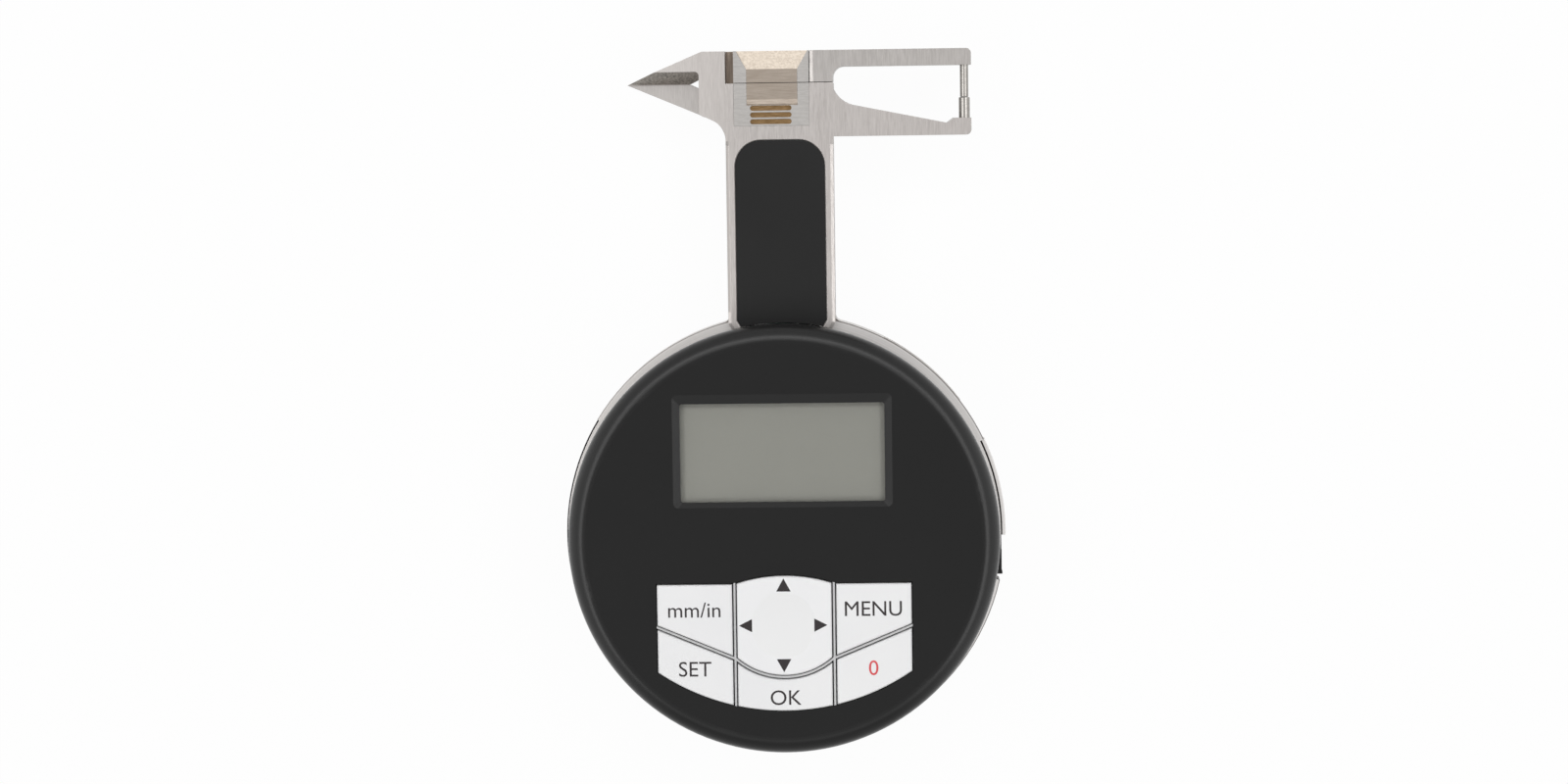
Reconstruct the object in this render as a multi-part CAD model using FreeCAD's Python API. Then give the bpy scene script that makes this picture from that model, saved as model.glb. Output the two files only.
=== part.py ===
"""Digital gemstone gauge: a round electronic case on a steel frame, with sliding measuring jaws.

The gauge lies on its back. X runs to the right, Y from the case towards the jaws and Z out of
the front. The origin is the centre of the round case, on its flat back. All sizes are in mm.
"""
import FreeCAD, Part
import math
import os

V = FreeCAD.Vector

# clearances
RUNNING = 0.05          # radial play of a shaft in its hole
SLIDING = 0.05          # play of a flat slide, each side
SEAT = 0.02             # play of a fixed piece in its seat
FREE = 0.1              # smallest gap between pieces that pass each other
OVERCUT = 1.0           # how far a cutting tool runs past the surface
WELD = 0.1              # how far shapes of one piece reach into each other
ROUND = 1 - math.sqrt(0.5)      # from a sharp corner to its round one, as a share of the radius

# heights above the back, built up from thicknesses
back_floor = 1.4
cell_thickness = 3.2
contact_thickness = 0.15
well_roof = 0.6
rod_thickness = 2.0
lever_thickness = 1.0
axle_head = 0.5
lip_thickness = 0.6
ring_height = 4.0
housing_height = 9.0
key_proud = 0.5
z_cell = back_floor
z_well_roof = z_cell + cell_thickness + contact_thickness + SLIDING
z_rod = z_well_roof + well_roof + 2 * FREE
z_rod_top = z_rod + rod_thickness
z_axle_head = z_rod_top + FREE
z_lever = z_axle_head + axle_head + FREE
z_lever_top = z_lever + lever_thickness
z_lip = z_lever_top + FREE
z_flange = z_lip + lip_thickness
z_ring = z_flange - ring_height
z_face = z_flange + housing_height
z_key_top = z_face + key_proud

# round case: its radii step in from the flange
flange_radius = 32.5
ring_width = 7.0
ring_inner_radius = flange_radius - ring_width
rim_flat_depth = 0.3
rim_flat_radius = flange_radius - rim_flat_depth
rim_flat_start = 148.0
rim_flat_end = 205.0
cup_step = 1.2
cup_wall = 1.4
cup_edge = 0.9
cup_radius = flange_radius - cup_step
cup_inner_radius = cup_radius - cup_wall
housing_step = 0.7
housing_flare = 0.75
housing_wall = 1.6
housing_edge = 2.7
housing_radius = flange_radius - housing_step
housing_low_radius = housing_radius - housing_flare
housing_inner_radius = housing_low_radius - housing_wall

# finger rest: a strip of the back cover over a flat of the ring, across from the lever
rest_depth = 0.9
rest_step = 0.05
rest_floor = 1.6
rest_sunk = 0.85
rest_inner_radius = flange_radius - rest_depth
rest_outer_radius = flange_radius - rest_step
z_rest_top = z_flange - rest_sunk

# lever: angles are counter-clockwise from +X, with the jaws closed
jaw_travel = 25.0
gear_module = 0.5
train_gap = 5.5
sector_cut_teeth = 10
pinion_teeth = 12
gear_teeth = 28
addendum = 0.75 * gear_module
dedendum = 1.1 * gear_module
backlash = 0.12
pressure_angle = math.radians(20)
pinion_radius = pinion_teeth * gear_module / 2
sector_teeth = round(2 * (ring_inner_radius - train_gap - pinion_radius) / gear_module)
sector_radius = sector_teeth * gear_module / 2
gear_radius = gear_teeth * gear_module / 2
lever_swing = math.degrees(jaw_travel * pinion_radius / (gear_radius * sector_radius))
shoe_end = 24.9
shoe_start = -1.1
arm_angle = -1.5
arm_width = 4.0
pad_top_y = -0.7
pad_bottom_y = -6.45
pad_face_sunk = 0.4
pad_thickness = 2.05
track_play = 0.3
shoe_proud = 0.1
shoe_width = 0.48
shoe_slit = 0.25
shoe_height = 2.3
shoe_ledge = 0.5
heel_width = 7.0
heel_sunk = 1.0
pad_floor = 2.0
pad_foot = 0.1
pad_foot_length = 0.35
pad_rib_pitch = 1.1
pad_rib_gap = 0.45
pad_rib_depth = 0.3
pad_rib_margin = 0.8
pad_face_x = flange_radius - pad_face_sunk
pad_inner_radius = pad_face_x - pad_thickness
track_radius = pad_inner_radius - track_play
track_floor = 0.8
shoe_outer_radius = flange_radius + shoe_proud
shoe_inner_radius = shoe_outer_radius - shoe_width
lip_cut_radius = shoe_inner_radius - shoe_slit
lever_hub_radius = 5.0
spoke_width = 2.2
spoke_angle = 9.0
lever_axle_radius = 1.5
rivet_radius = 1.05
rivet_proud = 0.2
gear_axle_radius = 0.75
gear_axle_tail = 1.2
gear_axle_head_radius = 1.2
gear_axle_head = 0.3
clip_groove_radius = 0.525
clip_groove_start = 0.4
clip_groove_width = 0.4
clip_radius = 1.8
gear_thickness = rod_thickness - 2 * FREE
gear_hub_radius = pinion_radius - dedendum - 1.0
gear_hole_radius = 1.0
gear_hole_count = 6
pad_end = math.degrees(math.atan2(pad_bottom_y, pad_face_x))
heel_start = shoe_start - 3.0
swing_margin = 1.6
track_start = pad_end - swing_margin
track_end = shoe_end + lever_swing + swing_margin
pad_track_end = math.degrees(math.atan2(pad_top_y, pad_face_x)) + lever_swing + swing_margin

# gear train places
rack_x = 0.0
gear_x = rack_x + gear_radius
centre_distance = sector_radius + pinion_radius
gear_y = math.sqrt(centre_distance ** 2 - gear_x ** 2)
mesh_angle = math.degrees(math.atan2(gear_y, gear_x))

# bridge plate over the mechanism
bridge_thickness = 1.0
bridge_arm_width = 6.0
bridge_spoke_width = 4.8
bridge_hub_radius = 6.0
bridge_gear_pad_radius = 3.6
tab_angles = (50, 140, 215, 300)
tab_reach = 2.4
tab_radius = ring_inner_radius - tab_reach
tab_width = 4.6
screw_radius = 0.9
screw_head_radius = 1.75
screw_head_height = 0.7
screw_slot_width = 0.36
screw_slot_depth = 0.28
screw_slot_length = 2.1
z_bridge = z_lip + 3 * FREE
z_bridge_top = z_bridge + bridge_thickness

# slide rod and its guides
rod_half_width = 4.0
rack_back_x = -4.0
rod_end_y = 64.5
rod_shoulder_gap = 2.765
rod_wide_start = gear_y + gear_radius + rod_shoulder_gap
rack_end_y = 21.6
rod_low_y = -10.0
bush_wall = 1.4
bush_floor = 0.5
bush_length = 6.5
bush_gap = 12.4
upper_bush_y = 57.3
strip_thickness = 0.2
strip_half_width = 2.6
strip_start = 31.0
strip_end = 57.0
sensor_board_thickness = 0.8
board_end_play = 1.0
sensor_chip_size = 3.0
ribbon_tail = 2.6
ribbon_run_in = 0.5
ribbon_width = 1.4
ribbon_thickness = 0.12

# neck and head: the head is split into a fixed front half and a sliding rear half
neck_half_width = 7.85
neck_rise = 1.8
neck_back_drop = 1.6
neck_edge = 0.45
neck_edge_depth = 0.2
neck_end = 58.4
neck_root_fillet = 1.0
neck_toe_y = 31.35
neck_toe_lean = 0.57
neck_cover_half_width = 6.55
neck_cover_end = 58.05
neck_cover_corner = 3.8
neck_cover_thickness = 1.35
neck_cover_sunk = 0.15
neck_rim_slope = 0.15
cut_through = 0.01
z_front = z_flange + neck_rise
z_back = z_rod - neck_back_drop
z_split = z_rod_top + 0.2
z_cover_floor = z_front - neck_cover_sunk - neck_cover_thickness
channel_half_width = rod_half_width + bush_wall
z_channel = z_rod - bush_floor
ribbon_x = channel_half_width - FREE - 2 * ribbon_width
z_ribbon = z_cover_floor - 2 * ribbon_thickness

# head outline, seen from the front
head_top = 71.05
split_y = 66.4
knife_y = 66.3
knife_tip_x = -22.35
knife_land = 0.25
bevel_top_y = 68.15
bevel_corner = 0.6
knife_knee = (-18.1, bevel_top_y)
tower_top_x = -11.2
tower_left_x = -11.65
tower_right_x = -7.8
relief_x = -13.13
relief_top_y = 67.02
relief_low_y = 65.63
lower_blade_y = 61.8
front_corner = 0.9
front_inset = 0.1
shoulder_x = -9.3
shoulder_bulge = 0.45
shoulder_drop = 1.1
root_step = 0.1
root_left_x = 4.5
root_right_x = 7.9
root_edge = 0.5
root_edge_depth = 0.2
arm_low_y = 68.65
arm_end_x = 28.0
arm_corner = 0.75
root_fillet = 1.6
anvil_arm_low_y = 58.5
anvil_arm_top_y = 60.95
anvil_arm_step_x = 25.45
anvil_dip = (24.5, 60.25)
anvil_slope_start = (10.65, 63.07)
anvil_curve_mid = (8.85, 64.1)
anvil_curve_top_y = 65.4
pin_x = 27.08
upper_pin_radius = 0.62
lower_pin_radius = 0.82
pin_meet_y = 63.95
pin_seat_depth = 1.6
pin_edge = 0.09
closing_gap = 0.03

# measuring blocks and brass anvils
block_left_x = -6.6
block_right_x = 4.4
block_low_y = 60.15
block_web = 1.05
block_front_sunk = 0.05
block_screw_inset = 2.0
block_screw_rise = 1.9
block_screw_hole = 1.5
block_screw_bite = 0.9
plate_screw_drop = 2.2
rod_screw_drop = 1.9
plate_screw_bite = 1.4
brass_x = -1.0
brass_half_width = 3.7
brass_thickness = 1.8
brass_dovetail = 1.5
brass_slope_y = 68.4
brass_slope_depth = brass_dovetail
brass_face_end_y = 64.0
brass_bevel_end_y = 63.15
brass_bevel_depth = 0.3
brass_low_y = 60.35
groove_x = -1.2
groove_half_length = 3.03
groove_height = 0.74
groove_pitch = 0.98
groove_depth = 0.7
groove_count = 3
first_groove_y = 62.74

# display
window_width = 29.7
window_height = 14.35
window_top_gap = 11.65
window_bevel = 1.1
window_bevel_depth = 0.45
window_bevel_rise = 0.3
window_corner = 0.35
window_bevel_corner = 0.7
window_y = housing_radius - window_top_gap - window_height / 2
lens_corner = 1.0
lens_thickness = 0.7
lens_margin = 1.9
lcd_thickness = 2.2
lcd_margin = 1.5
lcd_frame_wall = 0.8
lcd_frame_opening = 3.0
lcd_contact_ledge = 0.8
lcd_strip_edge = 0.4
lcd_strip_width = 1.6
lens_front_sunk = 0.55
z_lens = z_face - lens_front_sunk - lens_thickness

# keypad: the key field is cut into six keys by dividers of one width
field_side_gap = 13.3
field_low_gap = 7.0
field_height = 18.6
field_top_bulge = 1.2
field_half_width = housing_radius - field_side_gap
field_low_apex_y = field_low_gap - housing_radius
field_top_y = field_low_apex_y + field_height
field_top_apex_y = field_top_y + field_top_bulge
field_low_radius = 32.6
divider_x = 7.235
divider_outer_rise = 12.33
divider_inner_rise = 7.65
divider_arc_rise = 15.65
divider_arc_radius = 10.75
divider_outer_y = field_low_apex_y + divider_outer_rise
divider_inner_y = field_low_apex_y + divider_inner_rise
divider_arc_y = field_low_apex_y + divider_arc_rise
key_gap = 0.72
rib_width = 0.3
key_margin = 0.17
key_edge = 0.16
key_travel = 0.6
rib_sunk = 0.05
key_plate_thickness = 1.0
key_plate_margin = 1.0
low_key_rise = 4.9
leg_radius = 0.9
leg_inset = 0.6
leg_rise = 6.7
key_cap_height = 2.6
stem_radius = 1.5
stem_head_radius = 2.1
stem_head_height = 0.8
dish_half_width = 4.53
dish_half_height = 5.0
dish_rise = 12.37
dish_y = field_low_apex_y + dish_rise
dish_depth = 0.3
pad_post_reach = 5.2
pad_post_radius = 0.8
pad_post_play = 0.35
pad_tilt_gap = 0.5
pivot_core = 1.2
pivot_pin_radius = 0.45
pivot_pin_reach = 1.75
pivot_ear_start = 1.0
pivot_ear_end = 1.8
pivot_ear_half = 0.8
pivot_ear_play = 0.5
pivot_ear_height = 0.7
pivot_room = 1.15
pivot_depth = 0.55
z_key_cap = z_key_top - key_cap_height
z_key_plate_top = z_key_cap - key_travel - FREE
z_key_plate = z_key_plate_top - key_plate_thickness
z_stem_head = z_key_plate - FREE - stem_head_height
z_pivot = z_key_cap + pivot_depth

# circuit board
board_play = 0.9
board_radius = housing_inner_radius - board_play
board_thickness = 1.0
chip_height = 0.9
small_chip_height = 0.6
dome_radius = 2.2
small_dome_radius = 1.32
dome_height = 0.45
z_board_top = z_stem_head - key_travel - FREE - dome_height
z_board = z_board_top - board_thickness
board_screw_inset = 3.4
board_screw_angles = (20.4, 159.6, 90.0)
board_screw_bite = 2.5
boss_radius = 2.1

# case screws
housing_screw_inset = 1.05
housing_screw_radius = housing_inner_radius - housing_screw_inset
housing_head_sunk = 1.3
housing_screw_bite = 4.0
housing_screw_angles = (112, 184, 256, 328)
cover_screw_inset = 1.9
cover_screw_radius = cup_inner_radius - cover_screw_inset
cover_screw_angles = (55, 125, 235, 305)
cover_boss_radius = 2.3
cover_seat_depth = 1.8

# battery
cell_radius = 10.0
cell_edge_gap = 6.3
cell_y = cell_radius + cell_edge_gap - cup_radius
battery_cover_radius = 10.9
battery_cover_thickness = 1.15
battery_cover_sunk = 0.15
battery_cover_edge = 0.3
lug_reach = 1.0
lug_height = 0.6
lug_width = 5.0
lug_count = 3
unlock_turn = 40.0
well_wall = 1.2
coin_slot_width = 1.6
coin_slot_length = 12.0
coin_slot_depth = 0.6
seal_radius = 0.35
seal_proud = 0.05
lug_root = 1.5
lug_stem_gap = 0.25
cell_play = 0.15
well_play = 0.3
cell_lid_share = 0.88
cell_can_share = 0.8
contact_width = 2.2
contact_reach = 12.9
contact_low_share = 0.1
contact_high_share = 0.9
well_radius = battery_cover_radius + lug_reach + well_play + well_wall

# return spring
spring_wire = 0.3
spring_radius = 0.85
spring_pitch = 0.75
spring_lead = 1.25
spring_x = -2.2
anchor_half = 1.0
post_length = 2.5
spring_post_y = post_length - ring_inner_radius
spring_rod_y = rod_low_y
spring_turns = round((spring_rod_y - spring_post_y - 2 * spring_lead) / spring_pitch)


def box(x0, x1, y0, y1, z0, z1):
    """A block between two corners."""
    return Part.makeBox(x1 - x0, y1 - y0, z1 - z0, V(x0, y0, z0))


def disc(radius, z0, z1, x=0.0, y=0.0):
    """An upright cylinder."""
    return Part.makeCylinder(radius, z1 - z0, V(x, y, z0))


def tube(outer, inner, z0, z1, x=0.0, y=0.0):
    """An upright tube."""
    return disc(outer, z0, z1, x, y).cut(disc(inner, z0 - OVERCUT, z1 + OVERCUT, x, y))


def polar(radius, angle):
    """The point at a radius and an angle in degrees about the case centre."""
    return radius * math.cos(math.radians(angle)), radius * math.sin(math.radians(angle))


def outline(start, *steps):
    """A closed wire. A step is a point for a line, or a middle and an end point for an arc."""
    edges = []
    here = start
    for step in steps + (start,):
        if isinstance(step[0], tuple):
            middle, there = step
            ends = [V(p[0], p[1], 0) for p in (here, middle, there)]
            edges.append(Part.Arc(*ends).toShape())
        else:
            there = step
            if math.dist(here, there) > 1e-6:
                edges.append(Part.makeLine(V(here[0], here[1], 0), V(there[0], there[1], 0)))
        here = there
    return Part.Wire(edges)


def plate(wire, z0, z1):
    """An outline raised between two heights."""
    face = Part.Face(wire)
    face.translate(V(0, 0, z0))
    return face.extrude(V(0, 0, z1 - z0))


def sector(inner, outer, z0, z1, start, end):
    """Part of a ring between two radii and two angles."""
    middle = (start + end) / 2
    wire = outline(
        polar(inner, start),
        polar(outer, start),
        (polar(outer, middle), polar(outer, end)),
        polar(inner, end),
        (polar(inner, middle), polar(inner, start)),
    )
    return plate(wire, z0, z1)


def bar(x0, y0, x1, y1, width, z0, z1):
    """A straight flat bar between two points."""
    length = math.hypot(x1 - x0, y1 - y0)
    shape = box(0, length, -width / 2, width / 2, z0, z1)
    shape.rotate(V(0, 0, 0), V(0, 0, 1), math.degrees(math.atan2(y1 - y0, x1 - x0)))
    shape.translate(V(x0, y0, 0))
    return shape


def join(*shapes):
    """Several overlapping solids as one."""
    return shapes[0].multiFuse(list(shapes[1:])).removeSplitter()


def group(shapes):
    """Separate solids kept side by side in one piece."""
    return Part.makeCompound(list(shapes))


def top_edges(shape, height):
    """The edges that lie flat at one height."""
    return [
        edge
        for edge in shape.Edges
        if abs(edge.BoundBox.ZMin - height) < 1e-4 and abs(edge.BoundBox.ZMax - height) < 1e-4
    ]


def rounded_rectangle(width, height, radius, x=0.0, y=0.0):
    """A rectangle's outline with round corners, centred on a point."""
    a = width / 2
    b = height / 2
    c = radius * ROUND
    return outline(
        (x - a + radius, y - b),
        (x + a - radius, y - b),
        ((x + a - c, y - b + c), (x + a, y - b + radius)),
        (x + a, y + b - radius),
        ((x + a - c, y + b - c), (x + a - radius, y + b)),
        (x - a + radius, y + b),
        ((x - a + c, y + b - c), (x - a, y + b - radius)),
        (x - a, y - b + radius),
        ((x - a + c, y - b + c), (x - a + radius, y - b)),
    )


def screw(x, y, z_head, up, shank, radius=screw_radius, head=screw_head_radius):
    """A pan head screw: its head starts at a height, and its shank runs up or down."""
    if up:
        shape = join(
            disc(head, z_head, z_head + screw_head_height, x, y),
            disc(radius, z_head, z_head + screw_head_height + shank, x, y),
        )
    else:
        shape = join(
            disc(head, z_head - screw_head_height, z_head, x, y),
            disc(radius, z_head - screw_head_height - shank, z_head, x, y),
        )
    low = z_head - screw_slot_depth
    high = z_head + screw_slot_depth
    reach = screw_slot_length / 2
    cross = bar(x - reach, y, x + reach, y, screw_slot_width, low, high)
    other = bar(x, y - reach, x, y + reach, screw_slot_width, low, high)
    return shape.cut(cross).cut(other)


def tooth_angles(teeth, radius):
    """Half of a tooth's angle at the pitch circle, the base radius and the involute there."""
    half = math.pi / (2 * teeth) - backlash / (4 * radius)
    involute = math.tan(pressure_angle) - pressure_angle
    return half, radius * math.cos(pressure_angle), involute


def flank_angle(teeth, pitch_radius, radius):
    """Half of a tooth's angle at any radius."""
    half, base, involute = tooth_angles(teeth, pitch_radius)
    if radius <= base:
        return half + involute
    here = math.acos(base / radius)
    return half + involute - (math.tan(here) - here)


def tooth_steps(teeth, pitch_radius, centre_angle):
    """The path over one tooth from its root to its root, about the gear's centre."""
    base = tooth_angles(teeth, pitch_radius)[1]
    tip = pitch_radius + addendum
    root = pitch_radius - dedendum
    start = max(base, root)
    middle = (start + tip) / 2

    def at(radius, side):
        angle = math.degrees(flank_angle(teeth, pitch_radius, radius))
        return polar(radius, centre_angle + side * angle)

    steps = [at(root, -1)]
    if start > root + 1e-3:
        steps.append(at(start, -1))
    steps.append((at(middle, -1), at(tip, -1)))
    steps.append((polar(tip, centre_angle), at(tip, 1)))
    steps.append((at(middle, 1), at(start, 1)))
    if start > root + 1e-3:
        steps.append(at(root, 1))
    return steps


def full_gear(teeth, pitch_radius, first_angle, z0, z1, x, y):
    """A spur gear with a tooth centred on its first angle."""
    pitch = 360.0 / teeth
    root = pitch_radius - dedendum
    steps = []
    for number in range(teeth):
        centre = first_angle + number * pitch
        steps += tooth_steps(teeth, pitch_radius, centre)
        gap_end = centre + pitch - math.degrees(flank_angle(teeth, pitch_radius, root))
        steps.append((polar(root, centre + pitch / 2), polar(root, gap_end)))
    shape = plate(outline(steps[0], *steps[1:]), z0, z1)
    shape.translate(V(x, y, 0))
    return shape


def mating_angle(angle_a, radius_a, radius_b, line_angle):
    """The angle of a tooth on gear B that falls in a gap of gear A, along the line of centres."""
    pitch = math.degrees(math.pi * gear_module / radius_b)
    shift = radius_a * (angle_a - line_angle) / radius_b
    return line_angle + 180 - shift - pitch / 2


# frame casting

def flange_ring():
    """The ring behind the front housing, with the lever's track, slot and bridge tabs."""
    ring = tube(flange_radius, ring_inner_radius, z_ring, z_flange)
    tabs = []
    for angle in tab_angles:
        x0, y0 = polar(tab_radius, angle)
        x1, y1 = polar(ring_inner_radius + OVERCUT, angle)
        tabs.append(bar(x0, y0, x1, y1, tab_width, z_rod_top + 2 * FREE, z_bridge))
        tabs.append(disc(tab_width / 2, z_rod_top + 2 * FREE, z_bridge, x0, y0))
    post = box(spring_x - anchor_half, spring_x + anchor_half, -ring_inner_radius - OVERCUT,
               spring_post_y, z_rod, z_rod_top)
    outside = flange_radius + OVERCUT
    reach = ring_inner_radius - OVERCUT
    below_lip = z_ring + track_floor
    arm_half = math.degrees(math.asin((arm_width / 2) / ring_inner_radius)) + swing_margin
    cuts = [
        sector(track_radius, outside, below_lip, z_lip, track_start, track_end),
        sector(track_radius, outside, z_ring - OVERCUT, z_lip, track_start, pad_track_end),
        sector(lip_cut_radius, outside, z_lip, z_flange + OVERCUT, track_start, shoe_end),
        sector(
            reach, outside, z_lever - FREE, z_lip,
            arm_angle - arm_half, arm_angle + arm_half + lever_swing,
        ),
        sector(rim_flat_radius, outside, z_ring - OVERCUT, z_flange + OVERCUT,
               rim_flat_start, rim_flat_end),
        sector(rest_inner_radius, outside, z_ring - OVERCUT, z_rest_top + SLIDING,
               rim_flat_start, rim_flat_end),
    ]
    for angle in housing_screw_angles:
        x, y = polar(housing_screw_radius, angle)
        cuts.append(disc(screw_radius + SEAT, z_ring - OVERCUT, z_flange + OVERCUT, x, y))
        cuts.append(disc(screw_head_radius + FREE, z_ring - OVERCUT, z_ring + housing_head_sunk,
                         x, y))
    for angle in cover_screw_angles:
        x, y = polar(cover_screw_radius, angle)
        cuts.append(disc(screw_radius + SEAT, z_ring - OVERCUT, z_lever - 3 * FREE, x, y))
    shape = join(ring, post, *tabs)
    for angle in tab_angles:
        x, y = polar(tab_radius, angle)
        cuts.append(disc(screw_radius + SEAT, z_rod_top, z_bridge + OVERCUT, x, y))
    return shape.cut(Part.makeCompound(cuts))


def gear_pocket():
    """The space that the large gear needs at the edge of the ring."""
    reach = gear_radius + addendum + 2 * FREE
    return disc(reach, z_back - OVERCUT, gear_bottom() + gear_thickness + FREE, gear_x, gear_y)


def neck_outline(inset, top):
    """The neck from the front, drawn in by an inset: it narrows where it meets the case."""
    half = neck_half_width - inset
    lean = math.hypot(1.0, neck_toe_lean)
    knee_y = neck_toe_y + inset * (lean - 1) / neck_toe_lean
    low = ring_inner_radius
    toe = neck_half_width - inset * lean - neck_toe_lean * (neck_toe_y - low)
    return ((-toe, low), (toe, low), (half, knee_y), (half, top), (-half, top), (-half, knee_y))


def neck_foot_radius():
    """The radius about the case's centre where the raised part of the neck ends."""
    rise = housing_flare * neck_rise / housing_height
    return housing_low_radius + rise + FREE


def neck_bar():
    """The neck: low between flange and housing, raised in front of the flange outside them."""
    low = box(-neck_half_width, neck_half_width, ring_inner_radius, neck_end, z_back, z_flange)
    points = neck_outline(0.0, neck_end)
    z_edge = z_front - neck_edge_depth
    body = plate(outline(points[0], *points[1:]), z_flange - OVERCUT, z_edge)
    rims = []
    for inset, z in ((0.0, z_edge), (neck_edge, z_front)):
        points = neck_outline(inset, neck_end)
        rim = outline(points[0], *points[1:])
        rim.translate(V(0, 0, z))
        rims.append(rim)
    raised = body.fuse(Part.makeLoft(rims, True, True))
    raised = raised.cut(disc(neck_foot_radius(), z_flange, z_front + OVERCUT))
    raised = raised.cut(disc(ring_inner_radius + OVERCUT, z_back, z_flange))
    fillets = []
    r = neck_root_fillet
    for side in (-1, 1):
        x = side * (neck_half_width + r)
        y = math.sqrt((flange_radius + r) ** 2 - x ** 2)
        touch = polar(flange_radius - FREE, math.degrees(math.atan2(y, x)))
        inner_x = side * (neck_half_width - OVERCUT)
        filler = outline((inner_x, y), (x, y), touch, (inner_x, touch[1]))
        filler = plate(filler, z_ring, z_flange)
        fillets.append(filler.cut(disc(r, z_ring - OVERCUT, z_flange + OVERCUT, x, y)))
    return join(low, raised, *fillets)


def blade_edge_y(x):
    """The height of the sliding blade's lower edge, and of the head's edge in line with it."""
    fall = (lower_blade_y - knife_y) / (tower_left_x - knife_tip_x)
    return knife_y + fall * (x - knife_tip_x)


def fixed_head():
    """The front half of the head: blade tower, web behind the lower block, lower arm."""
    tip = (knife_tip_x, knife_y)
    shoulder = (shoulder_x, blade_edge_y(shoulder_x))
    corner_x = tower_left_x + front_corner
    corner_low = (corner_x, blade_edge_y(corner_x) + front_inset)
    corner_high = corner_low[1] + front_corner
    bend_x = tower_left_x + front_corner * ROUND
    bend_y = corner_low[1] + front_corner * ROUND
    front = outline(
        tip,
        (relief_x, knife_y),
        (tower_left_x, relief_top_y),
        (tower_left_x, corner_high),
        ((bend_x, bend_y), corner_low),
        shoulder,
        (
            (-neck_half_width - shoulder_bulge, shoulder[1] - shoulder_drop),
            (-neck_half_width, neck_end - 2 * WELD),
        ),
        (-neck_half_width, neck_end - OVERCUT),
        (root_right_x, neck_end - OVERCUT),
        (root_right_x, split_y - SLIDING),
        (tower_right_x, split_y - SLIDING),
        (tower_right_x, head_top),
        (tower_top_x, head_top),
        knife_knee,
    )
    front = plate(front, z_split, z_front)
    arm = outline(
        (neck_half_width, anvil_arm_low_y),
        (arm_end_x - arm_corner, anvil_arm_low_y),
        (
            (arm_end_x - arm_corner * ROUND, anvil_arm_low_y + arm_corner * ROUND),
            (arm_end_x, anvil_arm_low_y + arm_corner),
        ),
        (arm_end_x, anvil_arm_top_y),
        (anvil_arm_step_x, anvil_arm_top_y),
        anvil_dip,
        anvil_slope_start,
        (anvil_curve_mid, (root_right_x + SLIDING, anvil_curve_top_y)),
        (root_right_x + SLIDING, split_y - 3 * SLIDING),
        (root_right_x - root_step, split_y - SLIDING),
        (root_right_x - root_step, anvil_arm_low_y + OVERCUT),
        (neck_half_width, anvil_arm_low_y + OVERCUT),
    )
    arm = plate(arm, z_back, z_front)
    clear = box(0, root_right_x, neck_end, split_y, z_back - OVERCUT, z_split)
    return join(front, arm.cut(clear)).cut(front_blade_bevel())


def front_blade_bevel():
    """What is ground off the fixed blade to leave its knife edge at the split plane."""
    wedge = Part.makePolygon([
        V(knife_tip_x - OVERCUT, knife_y - OVERCUT, z_split + knife_land),
        V(knife_tip_x - OVERCUT, knife_y, z_split + knife_land),
        V(knife_tip_x - OVERCUT, bevel_top_y, z_front),
        V(knife_tip_x - OVERCUT, bevel_top_y, z_front + OVERCUT),
        V(knife_tip_x - OVERCUT, knife_y - OVERCUT, z_front + OVERCUT),
        V(knife_tip_x - OVERCUT, knife_y - OVERCUT, z_split + knife_land),
    ])
    wedge = Part.Face(wedge).extrude(V(tower_left_x - knife_tip_x + OVERCUT, 0, 0))
    corner = bevel_corner
    limit = outline(
        (knife_tip_x - 2 * OVERCUT, knife_y - 2 * OVERCUT),
        (tower_left_x, knife_y - 2 * OVERCUT),
        (tower_left_x, bevel_top_y - corner),
        (
            (tower_left_x - corner * ROUND, bevel_top_y - corner * ROUND),
            (tower_left_x - corner, bevel_top_y),
        ),
        (knife_tip_x - 2 * OVERCUT, bevel_top_y),
    )
    return wedge.common(plate(limit, z_split, z_front + 2 * OVERCUT))


def neck_cover_outline(play):
    """The outline of the neck cover, or with play that of its recess."""
    a = neck_cover_half_width + play
    top = neck_cover_end + play
    r = neck_cover_corner + play
    c = r * ROUND
    toe_left, toe_right, knee_right, _, _, knee_left = neck_outline(neck_half_width - a, top)
    return outline(
        toe_left,
        toe_right,
        knee_right,
        (a, top - r),
        ((a - c, top - c), (a - r, top)),
        (-a + r, top),
        ((-a + c, top - c), (-a, top - r)),
        knee_left,
    )


def lower_block_pocket(play):
    """The space of the lower measuring block, grown by some play."""
    return box(
        block_left_x - play, block_right_x + play, block_low_y - play, split_y,
        z_split + block_web, z_front + OVERCUT,
    )


def pin_seat(y, direction, radius):
    """The hole that holds a measuring pin in its arm."""
    middle = (z_back + z_front) / 2
    return Part.makeCylinder(radius + SEAT / 2, pin_seat_depth + OVERCUT,
                             V(pin_x, y - direction * OVERCUT, middle), V(0, direction, 0))


def recess_rim():
    """The slope ground round the recess of the neck cover."""
    low = neck_cover_outline(SEAT)
    high = neck_cover_outline(SEAT + neck_rim_slope)
    low.translate(V(0, 0, z_front - neck_rim_slope))
    high.translate(V(0, 0, z_front + cut_through))
    return Part.makeLoft([low, high], True, True)


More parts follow.
